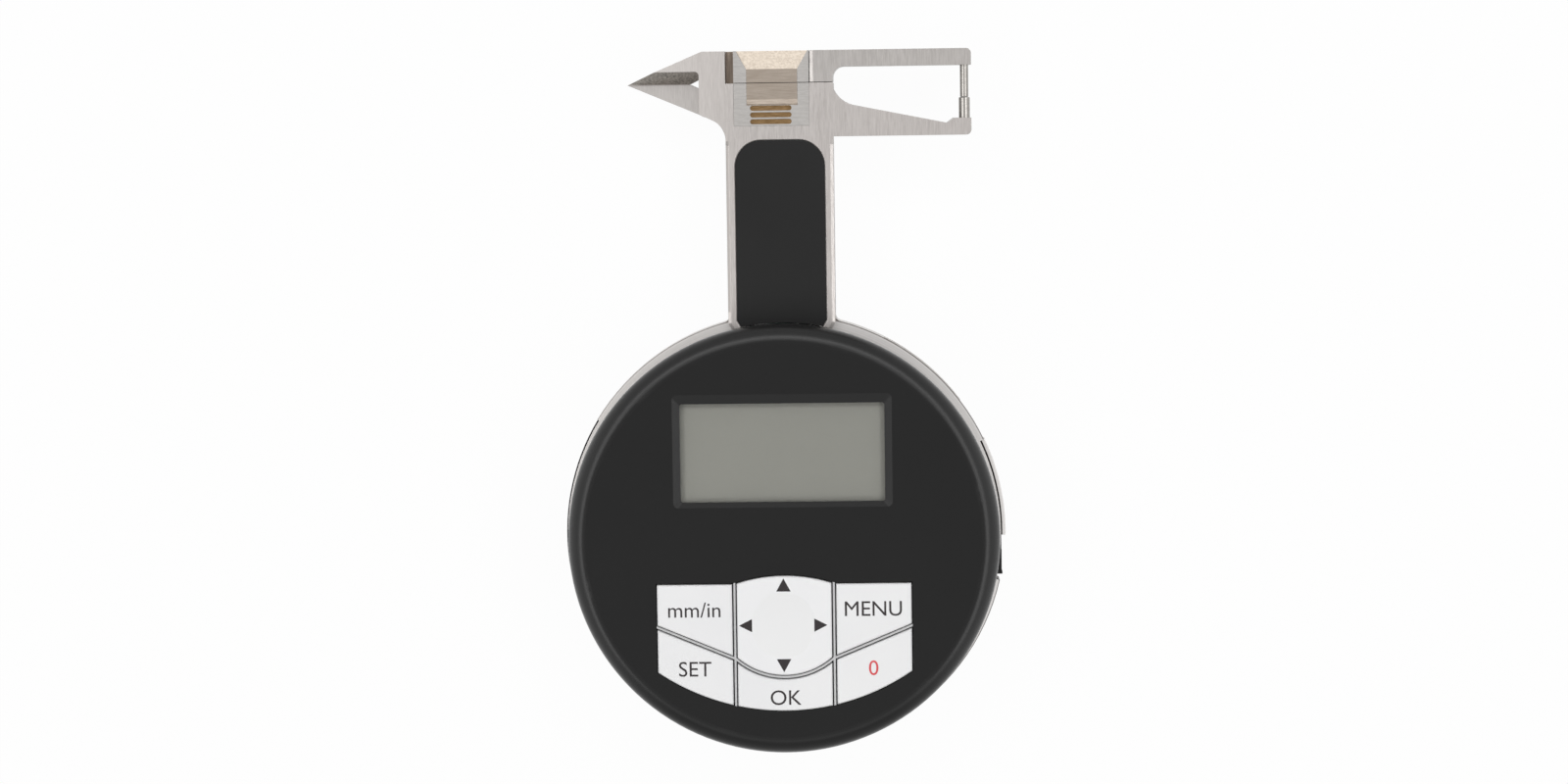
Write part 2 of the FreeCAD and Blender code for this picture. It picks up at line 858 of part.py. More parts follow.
def frame_casting():
    shape = join(flange_ring(), neck_bar(), fixed_head())
    recess = plate(neck_cover_outline(SEAT), z_cover_floor, z_front + OVERCUT)
    outside_case = neck_foot_radius()
    recess = recess.cut(disc(outside_case, z_cover_floor - OVERCUT, z_front + 2 * OVERCUT))
    low_channel = box(-channel_half_width, channel_half_width, reach_in(), neck_end + OVERCUT,
                      z_channel, z_split)
    high_channel = box(-channel_half_width, channel_half_width, reach_in(), upper_bush_y,
                       z_channel, z_cover_floor + OVERCUT)
    cuts = [recess, recess_rim().cut(disc(outside_case, z_ring, z_front + OVERCUT)),
            low_channel, high_channel, gear_pocket(),
            lower_block_pocket(SEAT), pin_seat(anvil_arm_top_y, -1, lower_pin_radius)]
    for x in block_screw_xs():
        cuts.append(disc(screw_radius + SEAT, z_split - OVERCUT, z_front, x, block_screw_y()))
        cuts.append(Part.makeCone(screw_head_radius + SEAT, screw_radius + SEAT,
                                  screw_head_height, V(x, block_screw_y(), z_split)))
    return shape.cut(Part.makeCompound(cuts))


def reach_in():
    """How far in the rod's channel starts."""
    return math.sqrt(ring_inner_radius ** 2 - channel_half_width ** 2) - OVERCUT


# measuring blocks, anvils and pins

def block_screw_xs():
    return (block_left_x + block_screw_inset, block_right_x - block_screw_inset)


def block_screw_y():
    return block_low_y + block_screw_rise


def brass_section(play):
    """The anvil bar seen from its end: its sides slope in towards its face."""
    half = brass_half_width + play
    z1 = z_front - block_front_sunk
    z0 = z1 - brass_thickness - play
    wide = half + brass_dovetail
    return Part.Face(Part.makePolygon([
        V(brass_x - wide, 0, z0),
        V(brass_x + wide, 0, z0),
        V(brass_x + wide, 0, z1 - brass_dovetail),
        V(brass_x + half, 0, z1),
        V(brass_x - half, 0, z1),
        V(brass_x - wide, 0, z1 - brass_dovetail),
        V(brass_x - wide, 0, z0),
    ]))


def brass_bar(y0, y1, play):
    """A length of the dovetail bar."""
    face = brass_section(play)
    face.translate(V(0, y0, 0))
    return face.extrude(V(0, y1 - y0, 0))


def top_slope():
    """What is ground off the top of the upper brass."""
    z1 = z_front - block_front_sunk
    face = Part.Face(Part.makePolygon([
        V(block_left_x - OVERCUT, brass_slope_y, z1),
        V(block_left_x - OVERCUT, head_top + OVERCUT,
          z1 - brass_slope_depth * (head_top + OVERCUT - brass_slope_y) / (head_top - brass_slope_y)),
        V(block_left_x - OVERCUT, head_top + OVERCUT, z1 + OVERCUT),
        V(block_left_x - OVERCUT, brass_slope_y, z1 + OVERCUT),
        V(block_left_x - OVERCUT, brass_slope_y, z1),
    ]))
    return face.extrude(V(block_right_x - block_left_x + 2 * OVERCUT, 0, 0))


def slope_room():
    """The room over the slope of the brass: it widens upwards as the dovetail does."""
    z1 = z_front - block_front_sunk
    half = brass_half_width + SEAT
    end_y = head_top + OVERCUT
    wide = half + brass_dovetail * (end_y - brass_slope_y) / (head_top - brass_slope_y)
    room = outline(
        (brass_x - half, brass_slope_y),
        (brass_x + half, brass_slope_y),
        (brass_x + wide, end_y),
        (brass_x - wide, end_y),
    )
    return top_slope().common(plate(room, z1 - 2 * brass_slope_depth, z1 + OVERCUT))


def upper_block():
    low = split_y + SLIDING
    block = box(block_left_x, block_right_x, low, head_top, z_split, z_front - block_front_sunk)
    block = block.cut(brass_bar(low - OVERCUT, head_top + OVERCUT, SEAT))
    for x, y in carriage_screw_places()[:2]:
        hole_top = z_split + block_screw_hole
        block = block.cut(disc(screw_radius + SEAT, z_split - OVERCUT, hole_top, x, y))
    return block.cut(slope_room())


def upper_anvil():
    return brass_bar(split_y + SLIDING, head_top, 0).cut(top_slope())


def lower_anvil():
    """The lower brass bar: a full face that ends in a bevel above the grooved part."""
    z1 = z_front - block_front_sunk
    shape = brass_bar(brass_low_y, split_y - SLIDING, 0)
    deep = z1 - groove_depth
    x0 = block_left_x
    x1 = block_right_x
    shape = shape.cut(box(x0, x1, brass_low_y - OVERCUT, brass_bevel_end_y, deep, z1 + OVERCUT))
    face = Part.Face(Part.makePolygon([
        V(x0, brass_face_end_y, z1),
        V(x0, brass_bevel_end_y, z1 - brass_bevel_depth),
        V(x0, brass_bevel_end_y - OVERCUT, z1 - brass_bevel_depth),
        V(x0, brass_bevel_end_y - OVERCUT, z1 + OVERCUT),
        V(x0, brass_face_end_y, z1 + OVERCUT),
        V(x0, brass_face_end_y, z1),
    ]))
    return shape.cut(face.extrude(V(x1 - x0, 0, 0)))


def groove_centre(number):
    return first_groove_y - number * groove_pitch


def lower_block():
    """The lower block: its slots show the brass bar that lies behind them."""
    z1 = z_front - block_front_sunk
    block = box(block_left_x, block_right_x, block_low_y, split_y - SLIDING,
                z_split + block_web, z1)
    deep = z1 - groove_depth
    seat = brass_bar(brass_low_y - SEAT, split_y, SEAT)
    web = box(block_left_x, block_right_x, block_low_y - OVERCUT, brass_bevel_end_y,
              deep + SEAT, z1 + OVERCUT)
    seat = seat.cut(web)
    block = block.cut(seat)
    radius = groove_height / 2
    reach = groove_half_length - radius
    for number in range(groove_count):
        y = groove_centre(number)
        slot = join(
            box(groove_x - reach, groove_x + reach, y - radius, y + radius, deep - SEAT, z1 + OVERCUT),
            disc(radius, deep - SEAT, z1 + OVERCUT, groove_x - reach, y),
            disc(radius, deep - SEAT, z1 + OVERCUT, groove_x + reach, y),
        )
        block = block.cut(slot)
    for x in block_screw_xs():
        hole_top = z_split + block_web + block_screw_bite + FREE
        block = block.cut(disc(screw_radius + SEAT, z_split, hole_top, x, block_screw_y()))
    return block


def block_screws():
    shapes = []
    for x in block_screw_xs():
        head = Part.makeCone(screw_head_radius, screw_radius, screw_head_height,
                             V(x, block_screw_y(), z_split))
        shank_top = z_split + block_web + block_screw_bite
        shank = disc(screw_radius, z_split, shank_top, x, block_screw_y())
        shapes.append(join(head, shank))
    return group(shapes)


def measuring_pin(y_seat, y_end, radius):
    """A pin from its seat in an arm to its domed measuring end."""
    middle = (z_back + z_front) / 2
    direction = 1 if y_end > y_seat else -1
    start = y_seat - direction * pin_seat_depth
    length = abs(y_end - start)
    pin = Part.makeCylinder(radius, length, V(pin_x, start, middle), V(0, direction, 0))
    end = [e for e in pin.Edges if abs(e.BoundBox.Center.y - y_end) < 1e-4 and e.isClosed()]
    return pin.makeChamfer(pin_edge, end)


# carriage

def carriage_screw_places():
    """Two screws into the upper block, then two into the rod."""
    left_x, right_x = block_screw_xs()
    plate_y = head_top - plate_screw_drop
    rod_y = rod_end_y - rod_screw_drop
    return (
        (left_x, plate_y),
        (right_x, plate_y),
        (-rod_half_width / 2, rod_y),
        (rod_half_width / 2, rod_y),
    )


def carriage_plate():
    """The rear half of the head with the second blade, and the upper arm on its root."""
    tip = (knife_tip_x, knife_y)
    shoulder = (shoulder_x, blade_edge_y(shoulder_x))
    low = neck_end + FREE
    side = neck_half_width
    rear = outline(
        tip,
        (tower_left_x, lower_blade_y),
        shoulder,
        ((-side - shoulder_bulge, shoulder[1] - shoulder_drop), (-side, low)),
        (root_right_x - FREE, low),
        (root_right_x - FREE, split_y + SLIDING),
        (root_right_x, split_y + SLIDING),
        (root_right_x, head_top),
        (tower_top_x, head_top),
        (tower_left_x, head_top - (tower_top_x - tower_left_x)),
        (tower_left_x, relief_low_y),
        (relief_x, knife_y),
    )
    rear = plate(rear, z_back, z_split - FREE)
    r = root_fillet
    c = r * ROUND
    arm = outline(
        (root_left_x, split_y + SLIDING),
        (root_right_x, split_y + SLIDING),
        (root_right_x, arm_low_y - r),
        ((root_right_x + c, arm_low_y - c), (root_right_x + r, arm_low_y)),
        (arm_end_x, arm_low_y),
        (arm_end_x, head_top - arm_corner),
        (
            (arm_end_x - arm_corner * ROUND, head_top - arm_corner * ROUND),
            (arm_end_x - arm_corner, head_top),
        ),
        (root_left_x, head_top),
    )
    arm = plate(arm, z_back, z_front)
    edge = Part.Face(Part.makePolygon([
        V(root_left_x, 0, z_front - root_edge_depth),
        V(root_left_x + root_edge, 0, z_front),
        V(root_left_x + root_edge, 0, z_front + OVERCUT),
        V(root_left_x - OVERCUT, 0, z_front + OVERCUT),
        V(root_left_x - OVERCUT, 0, z_front - root_edge_depth),
        V(root_left_x, 0, z_front - root_edge_depth),
    ])).extrude(V(0, head_top + OVERCUT, 0))
    cuts = [
        edge,
        rear_blade_bevel(),
        box(-rod_half_width - SEAT, rod_half_width + SEAT, low - OVERCUT, rod_end_y + SEAT,
            z_rod - SEAT, z_split),
        pin_seat(arm_low_y, 1, upper_pin_radius),
    ]
    z_screw = z_back + screw_head_height
    for x, y in carriage_screw_places():
        cuts.append(disc(screw_radius + SEAT, z_back - OVERCUT, z_split, x, y))
        cuts.append(disc(screw_head_radius + SEAT, z_back - OVERCUT, z_screw + SEAT, x, y))
    return join(rear, arm).cut(Part.makeCompound(cuts))


def rear_blade_bevel():
    """What is ground off the back of the sliding blade."""
    z1 = z_split - FREE
    x0 = knife_tip_x - OVERCUT
    depth = bevel_top_y - knife_y
    face = Part.Face(Part.makePolygon([
        V(x0, knife_y + OVERCUT, z1 - knife_land),
        V(x0, knife_y, z1 - knife_land),
        V(x0, knife_y - depth, z_back),
        V(x0, knife_y - depth, z_back - OVERCUT),
        V(x0, knife_y + OVERCUT, z_back - OVERCUT),
        V(x0, knife_y + OVERCUT, z1 - knife_land),
    ]))
    return face.extrude(V(relief_x - x0, 0, 0))


def carriage_screws():
    shapes = []
    for number, (x, y) in enumerate(carriage_screw_places()):
        top = z_split + plate_screw_bite if number < 2 else z_rod_top - 3 * FREE
        shank = top - z_back
        shapes.append(screw(x, y, z_back, True, shank - screw_head_height))
    return group(shapes)


def rack_pitch_offset():
    """Where a rack tooth's middle lies when the gear's first tooth points to the rack."""
    return gear_y + math.pi * gear_module / 2


def slide_rod():
    """The rod: wide in the neck, narrow with rack teeth in the case."""
    wide = box(-rod_half_width, rod_half_width, rod_wide_start, rod_end_y, z_rod, z_rod_top)
    narrow = box(rack_back_x, rack_x - dedendum, rod_low_y, rod_wide_start + OVERCUT,
                 z_rod, z_rod_top)
    pitch = math.pi * gear_module
    half = pitch / 4 - backlash / 4
    slope = math.tan(pressure_angle)
    tooth_low = rack_x - dedendum - WELD
    tooth_tip = rack_x + addendum
    first = math.ceil((rod_low_y + half + pitch / 4 - rack_pitch_offset()) / pitch)
    last = math.floor((rack_end_y + half - rack_pitch_offset()) / pitch)
    teeth = []
    for number in range(first, last + 1):
        y = rack_pitch_offset() + number * pitch
        wire = outline(
            (tooth_low, y - half - slope * (rack_x - tooth_low)),
            (tooth_tip, y - half + slope * addendum),
            (tooth_tip, y + half - slope * addendum),
            (tooth_low, y + half + slope * (rack_x - tooth_low)),
        )
        teeth.append(plate(wire, z_rod, z_rod_top))
    shape = join(wide, narrow, *teeth)
    cuts = [
        box(-strip_half_width - SEAT, strip_half_width + SEAT, strip_start - SEAT, strip_end + SEAT,
            z_rod_top - strip_thickness - SEAT, z_rod_top + OVERCUT),
    ]
    for x, y in carriage_screw_places()[2:]:
        cuts.append(disc(screw_radius + SEAT, z_rod - OVERCUT, z_rod_top + OVERCUT, x, y))
    return shape.cut(Part.makeCompound(cuts))


def scale_strip():
    return box(-strip_half_width, strip_half_width, strip_start, strip_end,
               z_rod_top - strip_thickness, z_rod_top)


def guide_bushes():
    """Two blocks that fill the neck's channel round the rod."""
    shapes = []
    low_ends = (upper_bush_y - bush_length, upper_bush_y - 2 * bush_length - bush_gap)
    for low in low_ends:
        block = box(-channel_half_width + SEAT, channel_half_width - SEAT, low + SEAT,
                    low + bush_length - SEAT, z_channel, z_cover_floor - SEAT)
        play = SLIDING
        hole = box(-rod_half_width - play, rod_half_width + play, low - OVERCUT,
                   low + bush_length + OVERCUT, z_rod - play, z_rod_top + play)
        shapes.append(block.cut(hole).cut(ribbon_slot()))
    return group(shapes)


def sensor_board():
    low = upper_bush_y - bush_length - bush_gap + board_end_play
    high = upper_bush_y - bush_length - board_end_play
    half = channel_half_width - 2 * FREE
    chip_z = z_rod_top + 2 * FREE + sensor_board_thickness
    board = box(-half, half, low, high, z_rod_top + 2 * FREE, chip_z)
    side = sensor_chip_size / 2
    middle = (low + high) / 2
    chip = box(-side, side, middle - side, middle + side, chip_z - WELD, chip_z + small_chip_height)
    return join(board, chip)


def sensor_ribbon():
    """The flat lead that runs from the sensor board over the lower bush into the case."""
    z_low = z_rod_top + 2 * FREE + sensor_board_thickness
    x1 = ribbon_x + ribbon_width
    z1 = z_ribbon + ribbon_thickness
    bend = upper_bush_y - bush_length - bush_gap + FREE
    end = ring_inner_radius - ribbon_run_in
    return join(
        box(ribbon_x, x1, bend, bend + ribbon_tail, z_low, z_low + ribbon_thickness),
        box(ribbon_x, x1, bend, bend + ribbon_thickness, z_low, z1),
        box(ribbon_x, x1, end, bend + ribbon_thickness, z_ribbon, z1),
        box(ribbon_x, x1, end, end + ribbon_thickness, z_ribbon, z_board),
    )


def ribbon_slot():
    """The space along the ribbon, over the lower bush and under the housing's wall."""
    return box(ribbon_x - FREE, ribbon_x + ribbon_width + FREE, ring_inner_radius,
               upper_bush_y - bush_length - bush_gap + OVERCUT, z_ribbon - SLIDING, z_cover_floor)


# lever and gears

def sector_first_angle():
    """The angle of the first tooth of the sector, so that the cut teeth cover the swing."""
    pitch = 360.0 / sector_teeth
    middle = mesh_angle - lever_swing / 2
    return middle - pitch * (sector_cut_teeth - 1) / 2


def thumb_lever():
    """The lever plate: hub, toothed sector, arm, and the curved shoe seen on the case's side."""
    pitch = 360.0 / sector_teeth
    first = sector_first_angle()
    root = sector_radius - dedendum
    start = first - pitch / 2
    steps = [polar(root, start)]
    for number in range(sector_cut_teeth):
        centre = first + number * pitch
        flank = math.degrees(flank_angle(sector_teeth, sector_radius, root))
        gap_middle = centre - flank - (pitch / 2 - flank) / 2
        steps.append((polar(root, gap_middle), polar(root, centre - flank)))
        steps += tooth_steps(sector_teeth, sector_radius, centre)[1:]
        gap_middle = centre + flank + (pitch / 2 - flank) / 2
        steps.append((polar(root, gap_middle), polar(root, centre + pitch / 2)))
    end = first + (sector_cut_teeth - 0.5) * pitch
    steps.append(polar(lever_axle_radius + OVERCUT, end))
    steps.append(polar(lever_axle_radius + OVERCUT, start))
    teeth = plate(outline(steps[0], *steps[1:]), z_lever, z_lever_top)
    window = sector(lever_hub_radius + spoke_width, root - spoke_width,
                    z_lever - OVERCUT, z_lever_top + OVERCUT, start + spoke_angle, end - spoke_angle)
    hub = disc(lever_hub_radius, z_lever, z_lever_top + FREE)
    x0, y0 = polar(0.0, arm_angle)
    x1, y1 = polar(shoe_inner_radius - 4 * FREE, arm_angle)
    arm = bar(x0, y0, x1, y1, arm_width, z_lever, z_lever_top)
    z_shoe = z_lever_top - shoe_height
    shoe = sector(shoe_inner_radius, shoe_outer_radius, z_shoe, z_lever_top, shoe_start, shoe_end)
    heel = sector(pad_inner_radius, shoe_outer_radius - heel_sunk, z_shoe, z_lever_top,
                  heel_start, heel_start + heel_width)
    ledge = sector(shoe_inner_radius - shoe_ledge, shoe_inner_radius + WELD, z_shoe, z_lever_top,
                   shoe_start, shoe_end)
    shape = join(teeth.cut(window), hub, arm, heel, ledge, shoe)
    return shape.cut(disc(lever_axle_radius + RUNNING, z_lever - OVERCUT, z_lip + OVERCUT))


def pad_outline(play):
    """The thumb pad from the front: round inside, straight outside, with a small foot."""
    high = pad_top_y - play
    low = pad_bottom_y + play
    inner = pad_inner_radius + play
    x_high = math.sqrt(inner ** 2 - high ** 2)
    x_low = math.sqrt(inner ** 2 - low ** 2)
    middle = (high + low) / 2
    x_middle = math.sqrt(inner ** 2 - middle ** 2)
    return outline(
        (x_high, high),
        ((x_middle, middle), (x_low, low)),
        (pad_face_x, low),
        (pad_face_x, low + pad_foot_length),
        (pad_face_x - pad_foot, low + pad_foot_length + pad_foot),
        (pad_face_x - pad_foot, high),
    )


def thumb_pad():
    """The black pad, ribbed on its outer face and pressed on the heel of the lever."""
    shape = plate(pad_outline(0.0), pad_floor, z_lever_top)
    z_shoe = z_lever_top - shoe_height
    lever_space = sector(pad_inner_radius - OVERCUT, shoe_outer_radius - heel_sunk + SEAT,
                         z_shoe - SEAT, z_lever_top + OVERCUT,
                         heel_start - SLIDING, heel_start + 2 * heel_width)
    x1, y1 = polar(shoe_inner_radius, arm_angle)
    arm_space = bar(0, 0, x1, y1, arm_width + 2 * SEAT, z_lever - SEAT, z_lever_top + OVERCUT)
    shape = shape.cut(lever_space).cut(arm_space)
    count = int((z_lever_top - pad_floor - 2 * pad_rib_margin) / pad_rib_pitch)
    for number in range(count):
        z = pad_floor + pad_rib_margin + number * pad_rib_pitch
        shape = shape.cut(box(pad_face_x - pad_rib_depth, pad_face_x + OVERCUT,
                              pad_bottom_y + pad_rib_margin, pad_top_y - pad_rib_margin / 2,
                              z, z + pad_rib_gap))
    return shape


def gear_bottom():
    return z_rod + FREE


def drive_gear():
    """The large gear that drives the rack, with lightening holes."""
    z0 = gear_bottom()
    shape = full_gear(gear_teeth, gear_radius, 180.0, z0, z0 + gear_thickness, gear_x, gear_y)
    holes = [disc(gear_hub_radius, z0 - OVERCUT, z_rod_top + OVERCUT, gear_x, gear_y)]
    hole_reach = (pinion_radius + gear_radius) / 2
    for number in range(gear_hole_count):
        x, y = polar(hole_reach, 360 * (number + 0.5) / gear_hole_count)
        holes.append(disc(gear_hole_radius, z0 - OVERCUT, z_rod_top + OVERCUT,
                          gear_x + x, gear_y + y))
    return shape.cut(Part.makeCompound(holes))


def pinion():
    """The small gear that the sector turns, with the hub that carries the large gear."""
    first = mating_angle(sector_first_angle(), sector_radius, pinion_radius, mesh_angle)
    z0 = gear_bottom() + gear_thickness
    teeth = full_gear(pinion_teeth, pinion_radius, first, z0, z_lever_top + FREE, gear_x, gear_y)
    hub = disc(gear_hub_radius, gear_bottom(), z0 + WELD, gear_x, gear_y)
    bore = disc(gear_axle_radius + RUNNING, z_rod - OVERCUT, z_bridge, gear_x, gear_y)
    return join(teeth, hub).cut(bore)


def bridge_plate():
    """The plate over the mechanism that carries both axles."""
    shapes = [
        disc(bridge_hub_radius, z_bridge, z_bridge_top),
        disc(bridge_gear_pad_radius, z_bridge, z_bridge_top, gear_x, gear_y),
        bar(0, 0, gear_x, gear_y, bridge_arm_width, z_bridge, z_bridge_top),
    ]
    for angle in tab_angles:
        x, y = polar(tab_radius, angle)
        shapes.append(bar(0, 0, x, y, bridge_spoke_width, z_bridge, z_bridge_top))
        shapes.append(disc(tab_width / 2, z_bridge, z_bridge_top, x, y))
    shape = join(*shapes)
    cuts = [
        disc(rivet_radius + SEAT, z_bridge - OVERCUT, z_bridge_top + OVERCUT),
        disc(gear_axle_radius + SEAT, z_bridge - OVERCUT, z_bridge_top + OVERCUT, gear_x, gear_y),
    ]
    for angle in tab_angles:
        x, y = polar(tab_radius, angle)
        cuts.append(disc(screw_radius + SEAT, z_bridge - OVERCUT, z_bridge_top + OVERCUT, x, y))
    return shape.cut(Part.makeCompound(cuts))


def lever_axle():
    """A shouldered stud, riveted in the bridge, with a flat head under the lever."""
    return join(
        disc(lever_axle_radius * 2, z_axle_head, z_axle_head + axle_head),
        disc(lever_axle_radius, z_axle_head, z_bridge),
        disc(rivet_radius, z_bridge, z_bridge_top + rivet_proud),
    )


def gear_axle():
    """A plain pin with a groove for its clip, held in the bridge by a head."""
    low = z_rod - gear_axle_tail
    groove = low + clip_groove_start
    head_z = z_bridge_top + gear_axle_head
    shape = join(
        disc(gear_axle_radius, low, z_bridge_top, gear_x, gear_y),
        disc(gear_axle_head_radius, z_bridge_top, head_z, gear_x, gear_y),
    )
    return shape.cut(tube(gear_axle_radius + OVERCUT, clip_groove_radius,
                          groove, groove + clip_groove_width, gear_x, gear_y))


def axle_clip():
    """The open ring in the gear axle's groove."""
    low = z_rod - gear_axle_tail + clip_groove_start + SEAT
    high = low + clip_groove_width - 2 * SEAT
    ring = tube(clip_radius, clip_groove_radius + SEAT, low, high, gear_x, gear_y)
    half = clip_groove_radius
    return ring.cut(box(gear_x - half, gear_x + half, gear_y, gear_y + 2 * clip_radius,
                        low - OVERCUT, z_rod))


def bridge_screws():
    shapes = []
    for angle in tab_angles:
        x, y = polar(tab_radius, angle)
        head_top_z = z_bridge_top + screw_head_height
        shank = z_bridge_top - (z_rod_top + 3 * FREE)
        shapes.append(screw(x, y, head_top_z, False, shank))
    return group(shapes)


def helix_points(per_turn):
    """Points along the coil's middle line, from its end at the rod to its end at the post."""
    count = spring_turns * per_turn
    y0 = (spring_rod_y + spring_post_y + spring_turns * spring_pitch) / 2
    points = []
    for number in range(count + 1):
        turn = 2 * math.pi * number / per_turn
        x = spring_x + spring_radius * math.cos(turn)
        z = (z_rod + z_rod_top) / 2 + spring_radius * math.sin(turn)
        points.append(V(x, y0 - spring_pitch * number / per_turn, z))
    return points


def coil_gap():
    """The least distance between turns of the coil, less the wire."""
    per_turn = 24
    points = helix_points(per_turn)
    least = min(
        points[a].distanceToPoint(points[b])
        for a in range(per_turn)
        for b in range(a + per_turn // 2, len(points))
    )
    return least - spring_wire


def return_spring():
    """The coil that pulls the rod back, with a straight end to the rod and one to the post."""
    points = helix_points(8)
    arcs = [Part.Arc(*points[i:i + 3]).toShape() for i in range(0, len(points) - 1, 2)]
    path = Part.Wire(arcs)
    first = path.Edges[0]
    section = Part.Circle(points[0], first.tangentAt(first.FirstParameter), spring_wire / 2)
    coil = path.makePipeShell([Part.Wire(section.toShape())], True, False)
    ends = []
    for point, y_end in ((points[0], spring_rod_y), (points[-1], spring_post_y)):
        way = V(0, y_end - point.y, 0)
        start = point - way * (spring_wire / 2 / way.Length)
        ends.append(Part.makeCylinder(spring_wire / 2, way.Length + spring_wire / 2, start, way))
    print("spring gap between turns", round(coil_gap(), 3))
    return join(coil, *ends)


# electronics

def board_screw_places():
    return [polar(board_radius - board_screw_inset, angle) for angle in board_screw_angles]


def circuit_board():
    shape = disc(board_radius, z_board, z_board_top)
    cuts = []
    for angle in housing_screw_angles:
        x, y = polar(housing_screw_radius, angle)
        cuts.append(disc(boss_radius + 4 * FREE, z_board - OVERCUT, z_board_top + OVERCUT, x, y))
    for x, y in board_screw_places():
        cuts.append(disc(screw_radius + SEAT, z_board - OVERCUT, z_board_top + OVERCUT, x, y))
    return shape.cut(Part.makeCompound(cuts))


def board_screws():
    shank = board_thickness + board_screw_bite
    return group([screw(x, y, z_board - screw_head_height, True, shank)
                  for x, y in board_screw_places()])


def chip(share_x, share_y, width, length, height):
    """A part under the board: its middle as shares of the board's radius, then its size."""
    x = share_x * board_radius
    y = share_y * board_radius
    return box(x - width / 2, x + width / 2, y - length / 2, y + length / 2, z_board - height, z_board)


def board_chips():
    """The processor, its crystal, the sounder and two small parts under the board."""
    return group([
        chip(-0.572, -0.079, 7.5, 7.5, chip_height),
        chip(-0.655, 0.22, 2.8, 4.5, chip_height),
        chip(0.64, -0.6, 4.5, 4.5, chip_height),
        chip(0.528, -0.3, 2.0, 1.0, small_chip_height),
        chip(0.651, -0.3, 2.0, 1.0, small_chip_height),
    ])


def stem_places():
    """The centre of each key: four side keys and the one below the pad."""
    side_x = (divider_x + field_half_width) / 2
    upper_y = (field_top_y + (divider_outer_y + divider_inner_y) / 2) / 2
    lower_y = field_low_apex_y + low_key_rise
    low_y = (field_low_apex_y + divider_arc_y - divider_arc_radius) / 2 + FREE
    return {
        "units_key": (-side_x, upper_y),
        "menu_key": (side_x, upper_y),
        "set_key": (-side_x, lower_y),
        "zero_key": (side_x, lower_y),
        "enter_key": (0.0, low_y),
    }


def pad_post_places():
    return [polar(pad_post_reach, 90 * number) for number in range(4)]


def dome_contacts():
    """One snap dome on the board under each key and each corner of the pad."""
    places = list(stem_places().values())
    places += [(x, y + dish_y) for x, y in pad_post_places()]
    shapes = []
    for x, y in places:
        radius = dome_radius if (x, y) in stem_places().values() else small_dome_radius
        ball_radius = (radius ** 2 + dome_height ** 2) / (2 * dome_height)
        ball = Part.makeSphere(ball_radius, V(x, y, z_board_top + dome_height - ball_radius))
        above = disc(radius + OVERCUT, z_board_top, z_board_top + dome_height + OVERCUT, x, y)
        shapes.append(ball.common(above))
    return group(shapes)


def window_outline(grow, radius, rise=0.0):
    """The outline of the display's opening, grown by some margin."""
    width = window_width + 2 * grow
    height = window_height + 2 * grow
    return rounded_rectangle(width, height, radius, 0.0, window_y + rise)


def display_lens():
    return plate(window_outline(lens_margin, lens_corner), z_lens, z_lens + lens_thickness)


def lcd_floor():
    return z_lens - FREE - lcd_thickness


def lcd_panel():
    """Two glass plates, the front one shorter at the contact edge."""
    z0 = lcd_floor()
    wide = window_width / 2 + lcd_margin
    high = window_height / 2 + lcd_margin
    back = box(-wide, wide, window_y - high, window_y + high, z0, z0 + lcd_thickness / 2)
    front = box(-wide, wide, window_y - high + lcd_contact_ledge, window_y + high,
                z0 + lcd_thickness / 2, z0 + lcd_thickness)
    return join(back, front)


def lcd_holder():
    """The plastic frame that holds the panel on the board."""
    wide = window_width / 2 + lcd_margin + SEAT
    high = window_height / 2 + lcd_margin + SEAT
    wall = lcd_frame_wall
    top = min(z_lens, z_face - housing_wall) - FREE
    outer = box(-wide - wall, wide + wall, window_y - high - wall, window_y + high + wall,
                z_board_top, top)
    inner = box(-wide, wide, window_y - high, window_y + high, z_board_top - OVERCUT, z_lens + OVERCUT)
    ledge = box(-wide - wall / 2, wide + wall / 2, window_y - high - wall / 2,
                window_y + high + wall / 2, z_board_top, lcd_floor())
    inset = lcd_frame_opening
    hole = box(-wide + inset, wide - inset, window_y - high + inset, window_y + high - inset,
               z_board_top - OVERCUT, z_lens + OVERCUT)
    slot_x = wide - inset + FREE
    strip_slots = [box(-slot_x, slot_x, y0, y1, z_board_top - OVERCUT, z_lens)
                   for y0, y1 in contact_strip_spans(SEAT)]
    shape = join(outer.cut(inner), ledge.cut(hole))
    return shape.cut(Part.makeCompound(strip_slots))


def contact_strip_spans(play):
    """The two strips lie along the panel's long edges."""
    far = window_height / 2 + lcd_margin - lcd_strip_edge + play
    near = far - lcd_strip_width - 2 * play
    return (
        (window_y - far, window_y - near),
        (window_y + near, window_y + far),
    )


def contact_strips():
    wide = window_width / 2 + lcd_margin - lcd_frame_opening
    return group([box(-wide, wide, y0, y1, z_board_top, lcd_floor())
                  for y0, y1 in contact_strip_spans(0)])


# front housing and keypad

def field_outline(grow):
    """The outline of the whole key field, grown by some margin."""
    a = field_half_width + grow
    top = field_top_y + grow
    apex = field_top_apex_y + grow
    radius = field_low_radius + grow
    low_centre = field_low_apex_y + field_low_radius
    side_low = low_centre - math.sqrt(radius ** 2 - a ** 2)
    return outline(
        (-a, top),
        (-divider_x - grow, top),
        ((0.0, apex), (divider_x + grow, top)),
        (a, top),
        (a, side_low),
        ((0.0, low_centre - radius), (-a, side_low)),
    )


